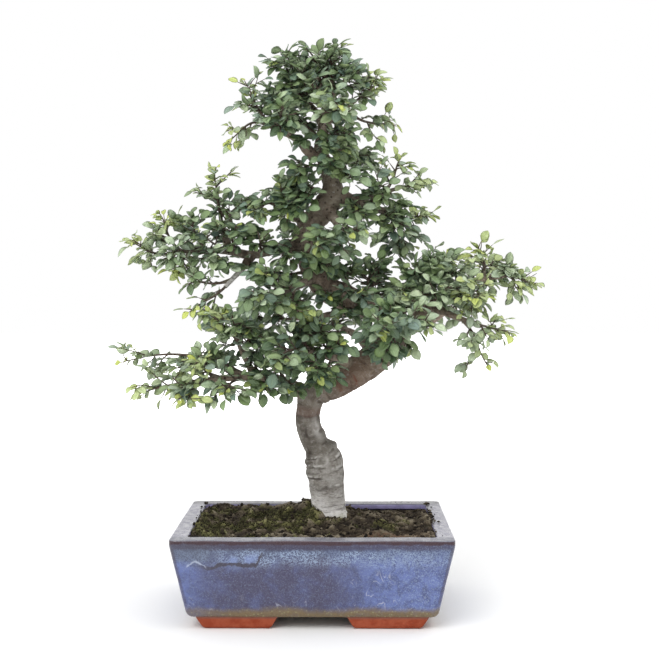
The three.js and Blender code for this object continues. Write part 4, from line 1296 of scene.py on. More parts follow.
@dataclass
class Pot:
    """The glazed rectangular pot with its four angle-shaped clay feet."""

    finishes: Finishes
    length: float = 282.0
    depth: float = 210.0
    height: float = 93.0
    foot_height: float = 11.8
    taper: float = 15.5
    rim_width: float = 17.0
    lip_inset: float = 0.2
    rim_thickness: float = 6.0
    wall: float = 8.0
    floor: float = 8.0
    corner_radius: float = 7.0
    foot_inset: float = 8.5
    foot_face_inset: float = 1.7
    foot_length: float = 83.0
    foot_side_length: float = 62.0
    foot_wall: float = 16.0
    foot_slant: float = 7.5
    foot_face_slant: float = 1.9
    drain_offset: float = 62.0
    drain_diameter: float = 20.0
    run_level: float = 68.5
    run_depth: float = 0.8
    frame: RoundedFrame = field(default_factory=lambda: RoundedFrame(74, 54, 8))

    @property
    def floor_top(self) -> float:
        """Height of the floor inside."""
        return self.foot_height + self.floor

    def profile(self) -> Array:
        """The pot's section, from the middle of the underside over the rim to the floor.

        Returns:
            Inset and height in two columns.
        """
        rim_bottom = self.height - self.rim_thickness
        corners = np.array([
            [self.taper + 30, self.foot_height], [self.taper + 2.2, self.foot_height],
            [self.taper - 0.6, self.foot_height + 3.6], [self.lip_inset, rim_bottom - 1.2],
            [0.0, rim_bottom + 0.6], [0.0, self.height], [self.rim_width, self.height],
            [self.rim_width, rim_bottom - 0.4], [self.lip_inset + self.wall, rim_bottom - 3.0],
            [self.taper + self.wall - 0.8, self.floor_top + 4.0],
            [self.taper + self.wall + 4, self.floor_top], [self.taper + 34, self.floor_top],
        ])
        radii = np.array([0, 2.2, 2.4, 1.2, 1.2, 1.7, 1.4, 0.8, 2, 3, 3, 0])
        return softened(corners, radii, [3, 0, 44, 0, 2, 6, 1, 2, 16, 0, 3], 5, False)

    def glazed_body(self) -> Skin:
        """The pot's walls, rim and floor: the profile carried round the rounded rectangle.

        The outer wall waves by a fraction of a millimetre, and a thick run of glaze stands out
        at the front left: its height is the product of a soft window in x and one in z.

        Returns:
            The skin, with marks for the thin-glazed edges, the rim's crest that takes a painted highlight,
            the inside and the run.
        """
        profile = self.profile()
        inset, height = profile[:, 0], profile[:, 1]
        radius = np.maximum(self.corner_radius - inset, 6.0)
        outline = self.frame.points(self.length / 2 - inset, self.depth / 2 - inset, radius)
        _, outward = self.frame.columns()
        tall = np.broadcast_to(height[:, None, None], (*outline.shape[:2], 1))
        points = np.concatenate([outline, tall], -1)
        rows = np.arange(len(profile))
        rim_row = int(np.argmax(height))
        outside = (rows <= rim_row) & (inset < self.taper + 1) & (height < self.height - 0.5)
        noise = Noise(4)
        wave = 0.22 * noise(points / 21.0, 2) - 0.2
        x, z = points[..., 0], points[..., 2]
        ragged = 1.3 * noise(np.stack([x / 7, x * 0, x * 0], -1), 2)
        edge_z = self.run_level + 1.6 * np.sin(x * 0.13) + ragged
        edge_z = edge_z + 13.0 * smooth_step(-59, -49, x)
        front = (outward[:, 1] < -0.5)[None, :]
        window = smooth_step(-124, -114, x) * smooth_step(-43, -50, x) * front
        run = window * smooth_step(edge_z - 1.2, edge_z + 1.0, z) * smooth_step(83, 73, z)
        push = (wave + self.run_depth * run) * outside[:, None]
        points[..., :2] += outward[None] * push[..., None]
        crown = (height > self.height - 1.0)[:, None]
        points[..., 2] += 0.35 * (noise(points / 34.0, 2) - 1.0) * crown
        fringe = z + 1.1 * noise(points / 6.0, 3)
        lip = 0.48 * smooth_step(81.8, 85.0, fringe) + 0.52 * smooth_step(87.6, 89.2, fringe)
        corner = smooth_step(0.995, 0.90, np.abs(outward).max(1)) * smooth_step(20.0, 30.0, z)
        lip = np.maximum(lip * smooth_step(93.1, 92.3, z), 0.5 * corner) * outside[:, None]
        bright = smooth_step(0.0, 0.5, noise(points / 15.0, 3) + 0.25)
        marks = {
            "edge": np.clip(lip, 0, 1).ravel(),
            # crest: where the painted highlight along the rim's outer top edge lies
            "crest": (hump(z, self.height - 0.3, 0.9) * outside[:, None]).ravel(),
            "inside": ((rows > rim_row + 10)[:, None] * smooth_step(92.6, 91.6, z)).ravel(),
            "run": (run * 0.6 * bright * smooth_step(-101, -93, x)).ravel(),
        }
        count, columns = points.shape[:2]
        caps = [np.arange(columns)[::-1], (count - 1) * columns + np.arange(columns)]
        return Skin(points.reshape(-1, 3), Skin.grid(count, columns, True), caps=caps, marks=marks)

    def drilled(self, body: Piece) -> Piece:
        """Cuts the two drain holes through the floor.

        Args:
            body: the undrilled pot.

        Returns:
            The same object with the holes in its mesh.
        """
        cutters = []
        sides, levels = 40, (self.foot_height - 6, self.floor_top + 3)
        for side in Side:
            ring = circle(sides) * self.drain_diameter / 2 + np.array([side.value * self.drain_offset, 0.0])
            points = np.vstack([np.column_stack([ring, np.full(sides, level)]) for level in levels])
            caps = [np.arange(sides)[::-1], sides + np.arange(sides)]
            cutters.append(Skin(points, Skin.grid(2, sides, True), caps=caps))
        drill = Assembly(cutters).build("drill", [self.finishes.glaze], self.finishes.origin)
        cut = body.modifiers.new("drain_holes", "BOOLEAN")
        cut.operation = "DIFFERENCE"
        cut.solver = "EXACT"
        cut.object = drill
        bpy.context.view_layer.update()
        drilled = bpy.data.meshes.new_from_object(body.evaluated_get(bpy.context.evaluated_depsgraph_get()))
        body.modifiers.clear()
        body.data = drilled
        bpy.data.objects.remove(drill)
        return body

    def foot(self, sign_x: float, sign_y: float) -> Skin:
        """One foot: an L-shaped outline whose open ends and outer faces slant in as it goes down.

        Args:
            sign_x: +1 for the right feet, -1 for the left ones.
            sign_y: +1 for the back feet, -1 for the front ones.

        Returns:
            The closed skin.
        """
        outer_x = self.length / 2 - self.taper - self.foot_inset
        outer_y = self.depth / 2 - self.taper - self.foot_face_inset
        levels = np.concatenate([np.linspace(self.foot_height + 0.8, 3.0, 8), [2.0, 1.1, 0.4, 0.0]])
        shares = np.clip(1.0 - levels / (self.foot_height + 1.0), 0.0, 1.0)
        pull = np.concatenate([np.zeros(8), [0.2, 0.6, 1.3, 2.4]])
        rings = []
        for share, level, shrink in zip(shares, levels, pull):
            slant, face = self.foot_slant * share, self.foot_face_slant * share
            right, back = outer_x - slant - shrink, outer_y - face - shrink
            far_x = outer_x - self.foot_length + slant + shrink
            far_y = outer_y - self.foot_side_length + slant + shrink
            inner_x, inner_y = outer_x - self.foot_wall + shrink, outer_y - self.foot_wall + shrink
            corners = np.array([
                [right, far_y], [right, back], [far_x, back], [far_x, inner_y], [inner_x, inner_y],
                [inner_x, far_y],
            ])
            ring = softened(corners, np.array([2.0, 3.0, 2.0, 2, 2, 2]), [9, 12, 2, 10, 8, 2], 6, True)
            rings.append(np.column_stack([ring, np.full(len(ring), level)]))
        points = np.stack(rings)
        noise = Noise(9)
        points[..., :2] += (noise(points / 12.0, 3) * 0.25)[..., None] * unit(points[..., :2])
        points = points * np.array([sign_x, sign_y, 1.0])
        count, columns = points.shape[:2]
        caps = [np.arange(columns), (count - 1) * columns + np.arange(columns)[::-1]]
        turn = slice(None, None, 1 if sign_x * sign_y < 0 else -1)
        quads = Skin.grid(count, columns, True)[:, turn]
        return Skin(points.reshape(-1, 3), quads, caps=[cap[turn] for cap in caps])

    def build(self) -> list[Piece]:
        """Makes the glazed body and the feet.

        Returns:
            The pieces.
        """
        make, glaze, clay = self.finishes.piece, self.finishes.glaze, self.finishes.clay
        feet = [self.foot(sign_x, sign_y) for sign_x in (-1.0, 1.0) for sign_y in (-1.0, 1.0)]
        return [
            self.drilled(make("pot_glazed_body", [self.glazed_body()], [glaze], "glaze", "pot")),
            make("pot_clay_feet", feet, [clay], "glaze", "pot"),
        ]


@dataclass
class DrainScreens:
    """Two squares of moulded plastic mesh over the drain holes."""

    finishes: Finishes
    pot: Pot
    size: float = 34.0
    strands: int = 11
    strand_radius: float = 0.6
    wave: float = 0.3
    gap: float = 0.3

    def screen(self, side: Side) -> Skin:
        """One screen: two crossed layers of strands that pass over and under each other.

        A strand's height waves as the sine of half a turn for each strand that it crosses.

        Args:
            side: which drain hole it covers.

        Returns:
            The strands as one skin.
        """
        half = self.size / 2 - self.strand_radius
        lines = np.linspace(-half, half, self.strands)
        run = np.linspace(-half, half, self.strands * 2 - 1)
        place, along = np.meshgrid(lines, run, indexing="ij")
        phase = np.arange(self.strands)[:, None] + np.arange(len(run))[None] / 2
        middle = self.pot.floor_top + self.gap + self.strand_radius + self.wave
        wave = self.wave * np.cos(np.pi * phase)
        offset = side.value * self.pot.drain_offset
        layers = [
            np.stack([along + offset, place, middle + wave], -1),
            np.stack([place + offset, along, middle - wave], -1),
        ]
        return twig_skins(np.concatenate(layers), self.strand_radius, 6)

    def build(self) -> list[Piece]:
        """Makes both screens.

        Returns:
            The pieces.
        """
        return [
            self.finishes.piece(
                f"drain_mesh_{side.name.lower()}", [self.screen(side)], [self.finishes.screen],
                "screen", f"drain_screen_{side.name.lower()}",
            )
            for side in Side
        ]


@dataclass
class SoilBed:
    """The mounded soil with its crumbs and moss."""

    finishes: Finishes
    pot: Pot
    edge_height: float = 86.4
    mound: float = 9.5
    reach: float = 62.0
    roughness: float = 1.3
    gap: float = 0.3
    crumbs: int = 1700
    spilled: int = 70
    tufts: int = 2600
    grid: tuple[int, int] = (210, 150)
    corner_radius: float = 6.0
    crumb_seed: int = 33
    tuft_seed: int = 55
    noise: Noise = field(default_factory=lambda: Noise(21))
    heaps: tuple[tuple[float, ...], ...] = (
        (9.5, -13, 13, 18, 17), (8.5, -7, 19, 74, 22), (5.5, -2, 9, 6, 14), (3.6, -78, 40, 86, 24),
        (6.0, -108, 9, 84, 12), (-4.5, 82, 46, 80, 30),
    )

    def moss(self, x: Array, y: Array) -> Array:
        """Where moss grows: mostly left of the trunk, broken up by noise.

        Args:
            x: places along the pot.
            y: places across it.

        Returns:
            The moss at each place, 0 to 1.
        """
        place = np.stack([x / 16, y / 16, np.zeros_like(x)], -1)
        left = smooth_step(38, -30, x) * smooth_step(92, 20, np.abs(y))
        patch = hump(x, 75, 22) * hump(y, -12, 30) * 0.55
        return np.clip(0.95 * left + patch + 0.75 * self.noise(place, 3) - 0.25, 0.0, 1.0)

    def lumps(self, x: Array, y: Array) -> Array:
        """Clods and hollows: noise of three sizes, the coarsest only where it rises."""
        place = np.stack([x, y, np.zeros_like(x)], -1)
        coarse = 3.0 * np.maximum(self.noise(place / 10.0 + 4, 2), -0.15)
        return coarse + 1.5 * self.noise(place / 5.0, 3) + 0.7 * np.abs(self.noise(place / 2.2 + 9, 2))

    def surface(self, x: Array, y: Array) -> Array:
        """The soil's height: a bell-shaped mound round the trunk, long swells, heaps, then lumps.

        A heap is its height times a bell in x and one in y, each with its middle and width.

        Args:
            x: places along the pot.
            y: places across it.

        Returns:
            The height at each place.
        """
        mound = self.mound * hump(np.hypot(x - TRUNK[2][0], y - TRUNK[2][1]), 0.0, self.reach)
        swell = np.sin(x * 0.11 + 1.3) * np.cos(y * 0.13) + 0.6 * np.sin(x * 0.27 - y * 0.19)
        heap = sum(high * hump(x, *row[:2]) * hump(y, *row[2:]) for high, *row in self.heaps)
        banked = 4.6 * smooth_step(104, 118, np.abs(x)) * smooth_step(84, 60, y)
        mossy = 0.9 * smooth_step(0.35, 0.7, self.moss(x, y))
        return self.edge_height + mound + self.roughness * swell + heap + banked + self.lumps(x, y) + mossy

    def bed(self) -> Skin:
        """The body of soil: a grid over the surface, then rows that run down to the pot's floor.

        Returns:
            The closed skin, with marks for moss, dry soil and tone.
        """
        edge_inset = self.pot.rim_width + self.gap
        half_x, half_y = self.pot.length / 2 - edge_inset, self.pot.depth / 2 - edge_inset
        columns, rows = self.grid
        u, v = np.meshgrid(np.linspace(-1, 1, columns), np.linspace(-1, 1, rows), indexing="ij")
        x, y = u * half_x, v * half_y
        radius = self.corner_radius
        over_x, over_y = np.abs(x) - (half_x - radius), np.abs(y) - (half_y - radius)
        corner = (over_x > 0) & (over_y > 0)
        square = np.maximum(np.maximum(over_x, over_y), 1e-6)
        shrink = np.where(corner, square / np.maximum(np.hypot(over_x, over_y), 1e-6), 1.0)
        x, y = (
            np.where(corner, np.sign(value) * (most - radius + over * shrink), value)
            for value, most, over in ((x, half_x, over_x), (y, half_y, over_y))
        )
        z = self.surface(x, y) - 1.2 * smooth_step(0.97, 1.0, np.maximum(np.abs(u), np.abs(v)))
        index = np.arange(columns * rows).reshape(columns, rows)
        face = Skin.grid(columns, rows, False)[:, [0, 3, 2, 1]]
        ring = np.concatenate([index[:-1, 0], index[-1, :-1], index[:0:-1, -1], index[0, :0:-1]])
        edge = np.stack([x.ravel()[ring], y.ravel()[ring]], -1)
        rim_bottom = self.pot.height - self.pot.rim_thickness
        wall = self.pot.taper + self.pot.wall
        floor = self.pot.floor_top
        levels = [
            (edge_inset, rim_bottom - 1.6), (self.pot.lip_inset + self.pot.wall + 0.5, rim_bottom - 4.0),
            (wall + 0.1, floor + 6.0), (wall + 5.3, floor + 1.8),
        ]
        half, around = np.array([half_x, half_y]), len(ring)
        top = np.stack([x, y, z], -1).reshape(-1, 3)
        skirts = [
            np.column_stack([edge * (1 - (inset - edge_inset) / half), np.full(around, level)])
            for inset, level in levels
        ]
        points = np.vstack([top, *skirts])
        rows_down = [ring] + [len(top) + k * around + np.arange(around) for k in range(len(levels))]
        walls = [
            np.stack([upper, lower, np.roll(lower, -1), np.roll(upper, -1)], -1)
            for upper, lower in zip(rows_down[:-1], rows_down[1:])
        ]
        dry = hump(points[:, 0], 78, 26) * hump(points[:, 1], -68, 16)
        # Tone follows the lumps: partly painted shade, darker in the hollows and lighter on the clods.
        tone = np.clip(0.36 + 0.16 * self.lumps(points[:, 0], points[:, 1]), 0, 1)
        marks = {"moss": self.moss(points[:, 0], points[:, 1]), "dry": dry, "tone": tone}
        return Skin(points, np.vstack([face, *walls]), caps=[rows_down[-1][::-1]], marks=marks)

    def scattered(self, count: int, seed: int) -> Array:
        """Draws places inside the rim.

        Args:
            count: how many.
            seed: what they are drawn from.

        Returns:
            x and y in two columns.
        """
        rng = np.random.default_rng(seed)
        margin = self.pot.rim_width + 2.5
        half = np.array([self.pot.length / 2 - margin, self.pot.depth / 2 - margin])
        return rng.uniform(-1, 1, (count, 2)) * half

    @staticmethod
    def spike(sides: int) -> IntArray:
        """Triangles up from one ring of points to the next ring and on to a tip.

        Args:
            sides: points in a ring.

        Returns:
            Three corners a face.
        """
        turn = np.arange(sides)
        follow, tip = (turn + 1) % sides, np.full(sides, 2 * sides)
        corners = [(turn, follow, turn + sides), (follow, follow + sides, turn + sides),
                   (turn + sides, follow + sides, tip)]
        return np.vstack([np.stack(triangle, -1) for triangle in corners])

    def crumb_skin(self) -> Skin:
        """Loose grains: octahedra with a ring of eight, each squashed and turned at random.

        A grain's point is its place plus its size times a random turn of the template point,
        each of whose corners is moved in or out by up to a quarter.

        Returns:
            All the grains as one skin.
        """
        rng = np.random.default_rng(self.crumb_seed)
        belt = np.pad(circle(6), [(0, 0), (0, 1)])
        upper = np.column_stack([0.62 * circle(6, 0.5), np.full(6, 0.62)])
        template = np.vstack([belt, upper, [[0, 0, 0.9], [0, 0, -0.7]]])
        turn = np.arange(6)
        faces = np.vstack([self.spike(6), np.stack([(turn + 1) % 6, turn, np.full(6, 13)], -1)])
        inner = self.pot.length / 2 - self.pot.rim_width
        spilled = np.column_stack([
            inner + rng.gamma(1.6, 1.5, self.spilled) - 1.0, rng.normal(30, 42, self.spilled).clip(-84, 84),
        ])
        spilled[::5, 0] *= -1
        place = np.vstack([self.scattered(self.crumbs, self.crumb_seed + 1), spilled])
        size = rng.gamma(2.6, 0.48, len(place)).clip(0.5, 3.0)
        on_rim = np.arange(len(place)) >= self.crumbs
        size[on_rim] = size[on_rim].clip(0.7, 2.6)
        ground = np.where(on_rim, self.pot.height, self.surface(place[:, 0], place[:, 1]))
        spin = rng.uniform(0, 2 * np.pi, len(place))
        squash = rng.uniform(0.55, 1.15, (len(place), 3))
        jitter = rng.uniform(0.78, 1.2, (len(place), len(template), 1))
        body = template[None] * jitter * squash[:, None] * size[:, None, None]
        cos, sin = np.cos(spin)[:, None], np.sin(spin)[:, None]
        x, y, z = body[..., 0], body[..., 1], body[..., 2]
        turned = np.stack([x * cos - y * sin, x * sin + y * cos, z], -1)
        centre = np.column_stack([place, ground + size * 0.25])
        points = (turned + centre[:, None]).reshape(-1, 3)
        tone = np.repeat(rng.beta(1.3, 2.2, len(place)), len(template))
        triangles = repeated(faces, len(place), len(template))
        return Skin(points, triangles=triangles, marks={"tone": tone})

    def tuft_skin(self) -> Skin:
        """Moss: short three-sided spikes that lean at random, crowded where the moss value is high.

        Returns:
            All the spikes as one skin.
        """
        rng = np.random.default_rng(self.tuft_seed)
        place = self.scattered(self.tufts * 6, self.tuft_seed + 1)
        value = self.moss(place[:, 0], place[:, 1])
        keep = np.flatnonzero(value > rng.uniform(0.30, 0.8, len(place)))[: self.tufts]
        keep = keep[np.hypot(*(place[keep] - np.array(TRUNK[2][:2])).T) > 17]
        place, value = place[keep], value[keep]
        count = len(place)
        ground = self.surface(place[:, 0], place[:, 1])
        height = rng.uniform(0.9, 2.6, count) * (0.6 + 0.6 * value)
        lean = rng.normal(0, 0.45, (count, 2)) * height[:, None]
        width = rng.uniform(0.35, 0.7, count)
        spin = rng.uniform(0, 2 * np.pi, count)[:, None] + np.arange(3) * 2 * np.pi / 3
        around = place[:, None] + np.stack([np.cos(spin), np.sin(spin)], -1) * width[:, None, None]
        foot = np.concatenate([around, np.repeat(ground[:, None, None] - 0.5, 3, 1)], -1)
        belly = foot + np.column_stack([lean * 0.45, height * 0.6 + 0.5])[:, None]
        tip = np.column_stack([place + lean, ground + height])[:, None]
        points = np.concatenate([foot, belly, tip], 1).reshape(-1, 3)
        triangles = repeated(np.vstack([self.spike(3), [[2, 1, 0]]]), count, 7)
        tint = np.tile(np.array([0, 0, 0, 0.45, 0.45, 0.45, 1.0]), count)
        tint = tint * np.repeat(rng.uniform(0.25, 1.0, count), 7)
        return Skin(points, triangles=triangles, marks={"tint": tint})

    def build(self) -> list[Piece]:
        """Makes the bed, the crumbs and the moss.

        Returns:
            The pieces.
        """
        soil, moss = self.finishes.soil, self.finishes.moss
        return [
            self.finishes.piece(name, [skin], [look], "soil", "soil")
            for name, skin, look in (
                ("soil_bed", self.bed(), soil), ("soil_crumbs", self.crumb_skin(), soil),
                ("moss_tufts", self.tuft_skin(), moss),
            )
        ]


# The tree


@dataclass(frozen=True)
class Crease:
    """A fold or ring in the trunk's bark."""

    height: float
    depth: float
    width: float
    bearing: float
    spread: float
    tilt: float = 0.0


@dataclass
class Wood:
    """The trunk, the branches and the short side shoots: one grown piece."""

    finishes: Finishes
    trunk_sides: int = 88
    trunk_step: float = 1.5
    limb_sides: int = 16
    limb_step: float = 2.2
    shoot_reach: float = 5.0
    shoot_radius: float = 2.0
    gap: float = 0.3
    noise: Noise = field(default_factory=lambda: Noise(77))
    knot_hole: tuple[float, float] = (157.0, 176.0)
    cut_height: float = 205.5
    low_trunk: float = 200.0
    small_knobs: int = 16
    collar: tuple[float, float, float] = (0.45, 11.0, 8.0)
    bleached: tuple[str, ...] = ("mid_left_drop",)
    scars: tuple[tuple[float, float, float], ...] = ((38.0, 4.0, 248.0), (22.0, 1.0, 240.0))
    creases: tuple[Crease, ...] = (
        Crease(139, 0.9, 1.1, 122, 62, -0.5), Crease(129, 0.25, 0.9, 215, 40, -1.0),
        Crease(146, 0.35, 0.9, 235, 50, -2.0), Crease(151, 0.45, 1.0, 145, 48, 2.5),
        Crease(155, 0.4, 0.9, 238, 38, -3.0), Crease(162, 0.5, 1.0, 140, 52, 3.0),
        Crease(118, 0.3, 0.8, 225, 45, 1.5), Crease(110, 0.3, 0.8, 190, 40, -1.0),
        Crease(205, 0.2, 2.6, 180, 180, 1.0),
    )
    knobs: tuple[tuple[float, ...], ...] = (
        (2.4, 165.5, 1.8, 262, 32), (-2.4, 172.5, 4.5, 258, 45), (0.9, 157, 2, 262, 30),
        (1.2, 158, 5, 110, 45), (2.2, 137, 11, 95, 42), (4.6, 92, 7, 258, 42), (0.8, 95, 7, 110, 40),
    )

    def trunk(self) -> Skin:
        """The trunk's bark, worked in the angle round it and the run along it.

        The radius is the drawn one, plus slow lumps, wrinkles that run round (noise squeezed
        along the run), small plates, the creases (bells in height round a bearing) and knots
        (bells in run and bearing).

        Returns:
            The skin.
        """
        path = Path.through(TRUNK)
        stations = int(path.length / self.trunk_step)
        shares = np.linspace(0.0, 1.0, stations)
        run = shares * path.length
        around = circle(self.trunk_sides)
        centre = path.at(shares)
        radius = path.value(shares)[:, None]
        grid_run = np.broadcast_to(run[:, None], (stations, self.trunk_sides))

        def pattern(across: float, along: float, octaves: int, shift: float) -> Array:
            """Noise round and along the trunk, seamless because it is read on a circle."""
            wide = around * across * (0.4 + radius / 22)[..., None]
            place = np.concatenate([wide, grid_run[..., None] / along], -1)
            return self.noise(place + shift, octaves)

        upper = smooth_step(300, 380, grid_run)
        relief = radius * 0.08 * pattern(1.0, 26, 2, 3.0)
        relief = relief + radius * (0.03 + 0.05 * upper) * pattern(2.4, 9, 3, 11.0)
        wrinkle = np.maximum(pattern(1.5, 2.6, 2, 19.0) - 0.15, 0.0)
        relief = relief - 1.0 * wrinkle * (1 - 0.5 * upper)
        plates = pattern(6.0, 4.0, 2, 27.0)
        relief = relief + (0.22 + 0.3 * upper) * plates
        bearing = np.arange(self.trunk_sides)[None] * 360.0 / self.trunk_sides
        height = np.where(run < self.low_trunk, centre[:, 2], 999.0)[:, None]
        # crease: painted shade in the wrinkles, and below in the folds.
        crease = np.clip(wrinkle * 1.1, 0, 0.5)
        ridge = np.zeros(grid_run.shape)
        drift = 1.2 * pattern(1.2, 400, 2, 31.0)
        for fold in self.creases:
            turn = np.abs((bearing - fold.bearing + 180) % 360 - 180)
            window = smooth_step(fold.spread, fold.spread * 0.45, turn)
            level = height + (fold.tilt * np.sin(np.radians(bearing - fold.bearing)) + drift)
            line = hump(level, fold.height, fold.width) * window
            relief = relief - fold.depth * line
            crease = np.maximum(crease, line * min(1.0, 0.35 + fold.depth))
            # Painted highlight on the lit edge above each fold.
            lit = hump(level, fold.height + 2.3, 1.0) * window * smooth_step(-0.3, 0.4, plates)
            ridge = np.maximum(ridge, (0.75 if fold.spread < 180 else 0.0) * lit)
        ridge, crease = self.painted_light(ridge, crease, bearing, height, pattern(2.2, 6, 2, 47.0))
        relief = relief + self.knots(bearing, run[:, None], height, radius) + 0.5 * ridge
        near = [run[np.argmin(np.abs(centre - spot).sum(1))] for spot in self.scars]
        ragged = run[:, None] + 2.5 * pattern(2.2, 60, 2, 41.0)
        scar = np.maximum(hump(ragged, near[0], 1.5), 0.6 * hump(ragged, near[1], 2.6))
        scar = scar * hump(bearing, 205, 38)
        relief = relief - 0.8 * scar
        scar = np.maximum(scar, 0.28 * hump(run[:, None], near[0], 24))
        cut = smooth_step(-0.8, 0.6, height - (self.cut_height + drift)) * smooth_step(218, 211, height)
        scar = np.maximum(scar, 0.32 * cut)
        rise = np.broadcast_to(shares[:, None], grid_run.shape)
        marks = {"rise": rise, "crease": crease, "scar": scar, "ridge": ridge}
        return bark_tube(path, shares, radius + relief, AHEAD, marks)

    def painted_light(
        self, ridge: Array, crease: Array, bearing: Array, height: Array, patchy: Array
    ) -> tuple[Array, Array]:
        """Adds painted light and shade: the knot hole's pale ring and shaded dark middle, a pale highlight
        streak and painted shade on the left beside it.

        The ring is a bell in the distance from the knot; the highlight streak and the left-side shade are
        bells in height and bearing, broken up by the patchy noise.

        Args:
            ridge: how pale each point is so far, by painted highlight.
            crease: how dark each point is so far, by painted shade.
            bearing: degrees round the trunk.
            height: height of the lower trunk's centre.
            patchy: noise about -1 to 1.

        Returns:
            The new ridge and crease.
        """
        hole_height, hole_bearing = self.knot_hole
        off = height - hole_height, np.radians(bearing - hole_bearing) * 16.0
        away = np.hypot(*off) + 1.6 * patchy
        # The knot hole's pale ring: a painted highlight on its rim.
        ridge = np.maximum(ridge, 0.35 * hump(away, 5.5, 1.4) * smooth_step(-0.2, 0.5, patchy))
        # A pale painted highlight streak on the upper trunk.
        streak_highlight = hump(height, 190, 12) * hump(bearing, 213, 18) * smooth_step(-0.7, 0.3, patchy)
        # Painted shade on the trunk's left side.
        high, low = (hump(height, z, tall) * hump(bearing, way, wide) for z, tall, way, wide in (
            (187, 13, 155, 26), (171, 9, 128, 24)))
        left_shade = 0.8 * np.maximum(high, low) * smooth_step(-1.0, 0.2, patchy)
        # The knot hole's dark middle is painted shade.
        crease = np.maximum(np.maximum(crease, 0.45 * hump(away, 0.0, 3.5)), left_shade)
        return np.maximum(ridge, 0.65 * streak_highlight), crease

    def knots(self, bearing: Array, run: Array, height: Array, radius: Array) -> Array:
        """Knobs on the trunk: each a bell in height or run, times a bell in bearing.

        Args:
            bearing: degrees round the trunk, 0 at the back, 90 at the left, 180 in front.
            run: length along the trunk.
            height: height of the lower trunk's centre.
            radius: the trunk's drawn radius.

        Returns:
            What the knobs add to the radius.
        """
        def bell(value: Array, middle: float, width: float, way: float, spread: float) -> Array:
            """One knob's shape, 1 at its top."""
            return hump(value, middle, width) * hump((bearing - way + 180) % 360, 180, spread)

        total = sum(push * bell(height, *knob) for push, *knob in self.knobs)
        rises = np.random.default_rng(5)
        for _ in range(self.small_knobs):
            place = rises.uniform(205, 640)
            total = total + radius * rises.uniform(0.08, 0.22) * bell(
                run, place, rises.uniform(4, 9), rises.uniform(0, 360), rises.uniform(18, 38)
            )
        return total

    def limb(self, rows: Rows, seed: int, bleached: bool) -> Skin:
        """One branch, with a collar where it leaves the wood and slow lumps along it.

        The radius is the drawn one times 1 + swell e^(-s/fade), s being the run past the
        collar's start, plus noise.

        Args:
            rows: its centre points and radii.
            seed: shifts its noise.
            bleached: whether its outer part is pale and worn by the weather.

        Returns:
            The skin.
        """
        path = Path.through(rows)
        stations = max(8, int(path.length / self.limb_step))
        shares = np.linspace(0.0, 1.0, stations)
        run = shares * path.length
        radius = path.value(shares)[:, None]
        swell, start, fade = self.collar
        collar = 1.0 + swell * np.exp(-np.maximum(run - start, 0.0) / fade)[:, None]
        around = np.broadcast_to(circle(self.limb_sides), (stations, self.limb_sides, 2))
        far = np.broadcast_to(run[:, None, None], (*around.shape[:2], 1))
        place = np.concatenate([around, far / 8.0], -1)
        lumps = self.noise(place + seed * 5.7, 3)
        wrinkles = np.maximum(self.noise(place * np.array([1, 1, 3.2]) + seed * 2.3, 2), 0.0)
        body = radius * collar * (1.0 + 0.13 * lumps - 0.10 * wrinkles)
        rise = np.full(body.shape, 0.42 if rows[0][2] < 330 else 0.66) + 0.25 * shares[:, None]
        if bleached:
            rise = rise + (0.11 - rise) * smooth_step(0.2, 0.45, shares)[:, None]
        reference = square_reference(unit(path.points[-1] - path.points[0]))
        # crease: painted shade in the branch's wrinkles
        return bark_tube(path, shares, body, reference, {"rise": rise, "crease": np.clip(wrinkles, 0, 0.5)})

    @staticmethod
    def branch_point(spray: Spray) -> tuple[Array, Array, float]:
        """The point where a spray leaves its branch, and the branch's direction and radius there."""
        path = Path.through(TRUNK if spray.limb == "trunk" else LIMBS[spray.limb])
        return path.at(spray.share), path.along(spray.share), float(path.value(spray.share))

    def plan(self, spray: Spray) -> tuple[Array, Array, Array | None]:
        """Works out how a spray leaves its branch.

        Args:
            spray: the spray.

        Returns:
            Its start, its first direction, and where its side shoot starts if it has one.
        """
        point, along, radius = self.branch_point(spray)
        if spray.share == 1:
            return point + along * self.gap, along, None
        way = unit(unit(spray.tip - point) + 0.35 * along)
        aside = max(0.45, float(np.linalg.norm(np.cross(way, along))))
        end = point + way * (radius / aside + self.shoot_reach)
        return end + way * self.gap, way, point

    def shoots(self) -> Skin:
        """The side shoots that sprays grow from, as short tapering tubes.

        Returns:
            The shoots as one skin.
        """
        lines, radii = [], []
        for spray in every_spray().values():
            start, _, base = self.plan(spray)
            if base is not None:
                lines.append(base + (start - base) * np.linspace(0, 1, 5)[:, None])
                thick = min(self.shoot_radius, self.branch_point(spray)[2] * 0.8)
                radii.append(thick * np.array([1.35, 1.2, 1.05, 0.95, 0.85]))
        return twig_skins(np.array(lines), np.array(radii), 8, rise=0.8)

    def build(self) -> list[Piece]:
        """Makes the wood as one object.

        Returns:
            The piece, alone in a list.
        """
        limbs = [
            self.limb(rows, seed, name in self.bleached) for seed, (name, rows) in enumerate(LIMBS.items())
        ]
        skins = [self.trunk(), *limbs, self.shoots()]
        return [self.finishes.piece("tree_wood", skins, [self.finishes.bark], "bark", "trunk_and_branches")]


class Young(Enum):
    """How much of a spray is new, yellow-green growth, and how much paler it all is for that."""

    FEW = (0.05, -0.02)
    SOME = (0.25, 0.12)
    TIPS = (0.75, 0.28)


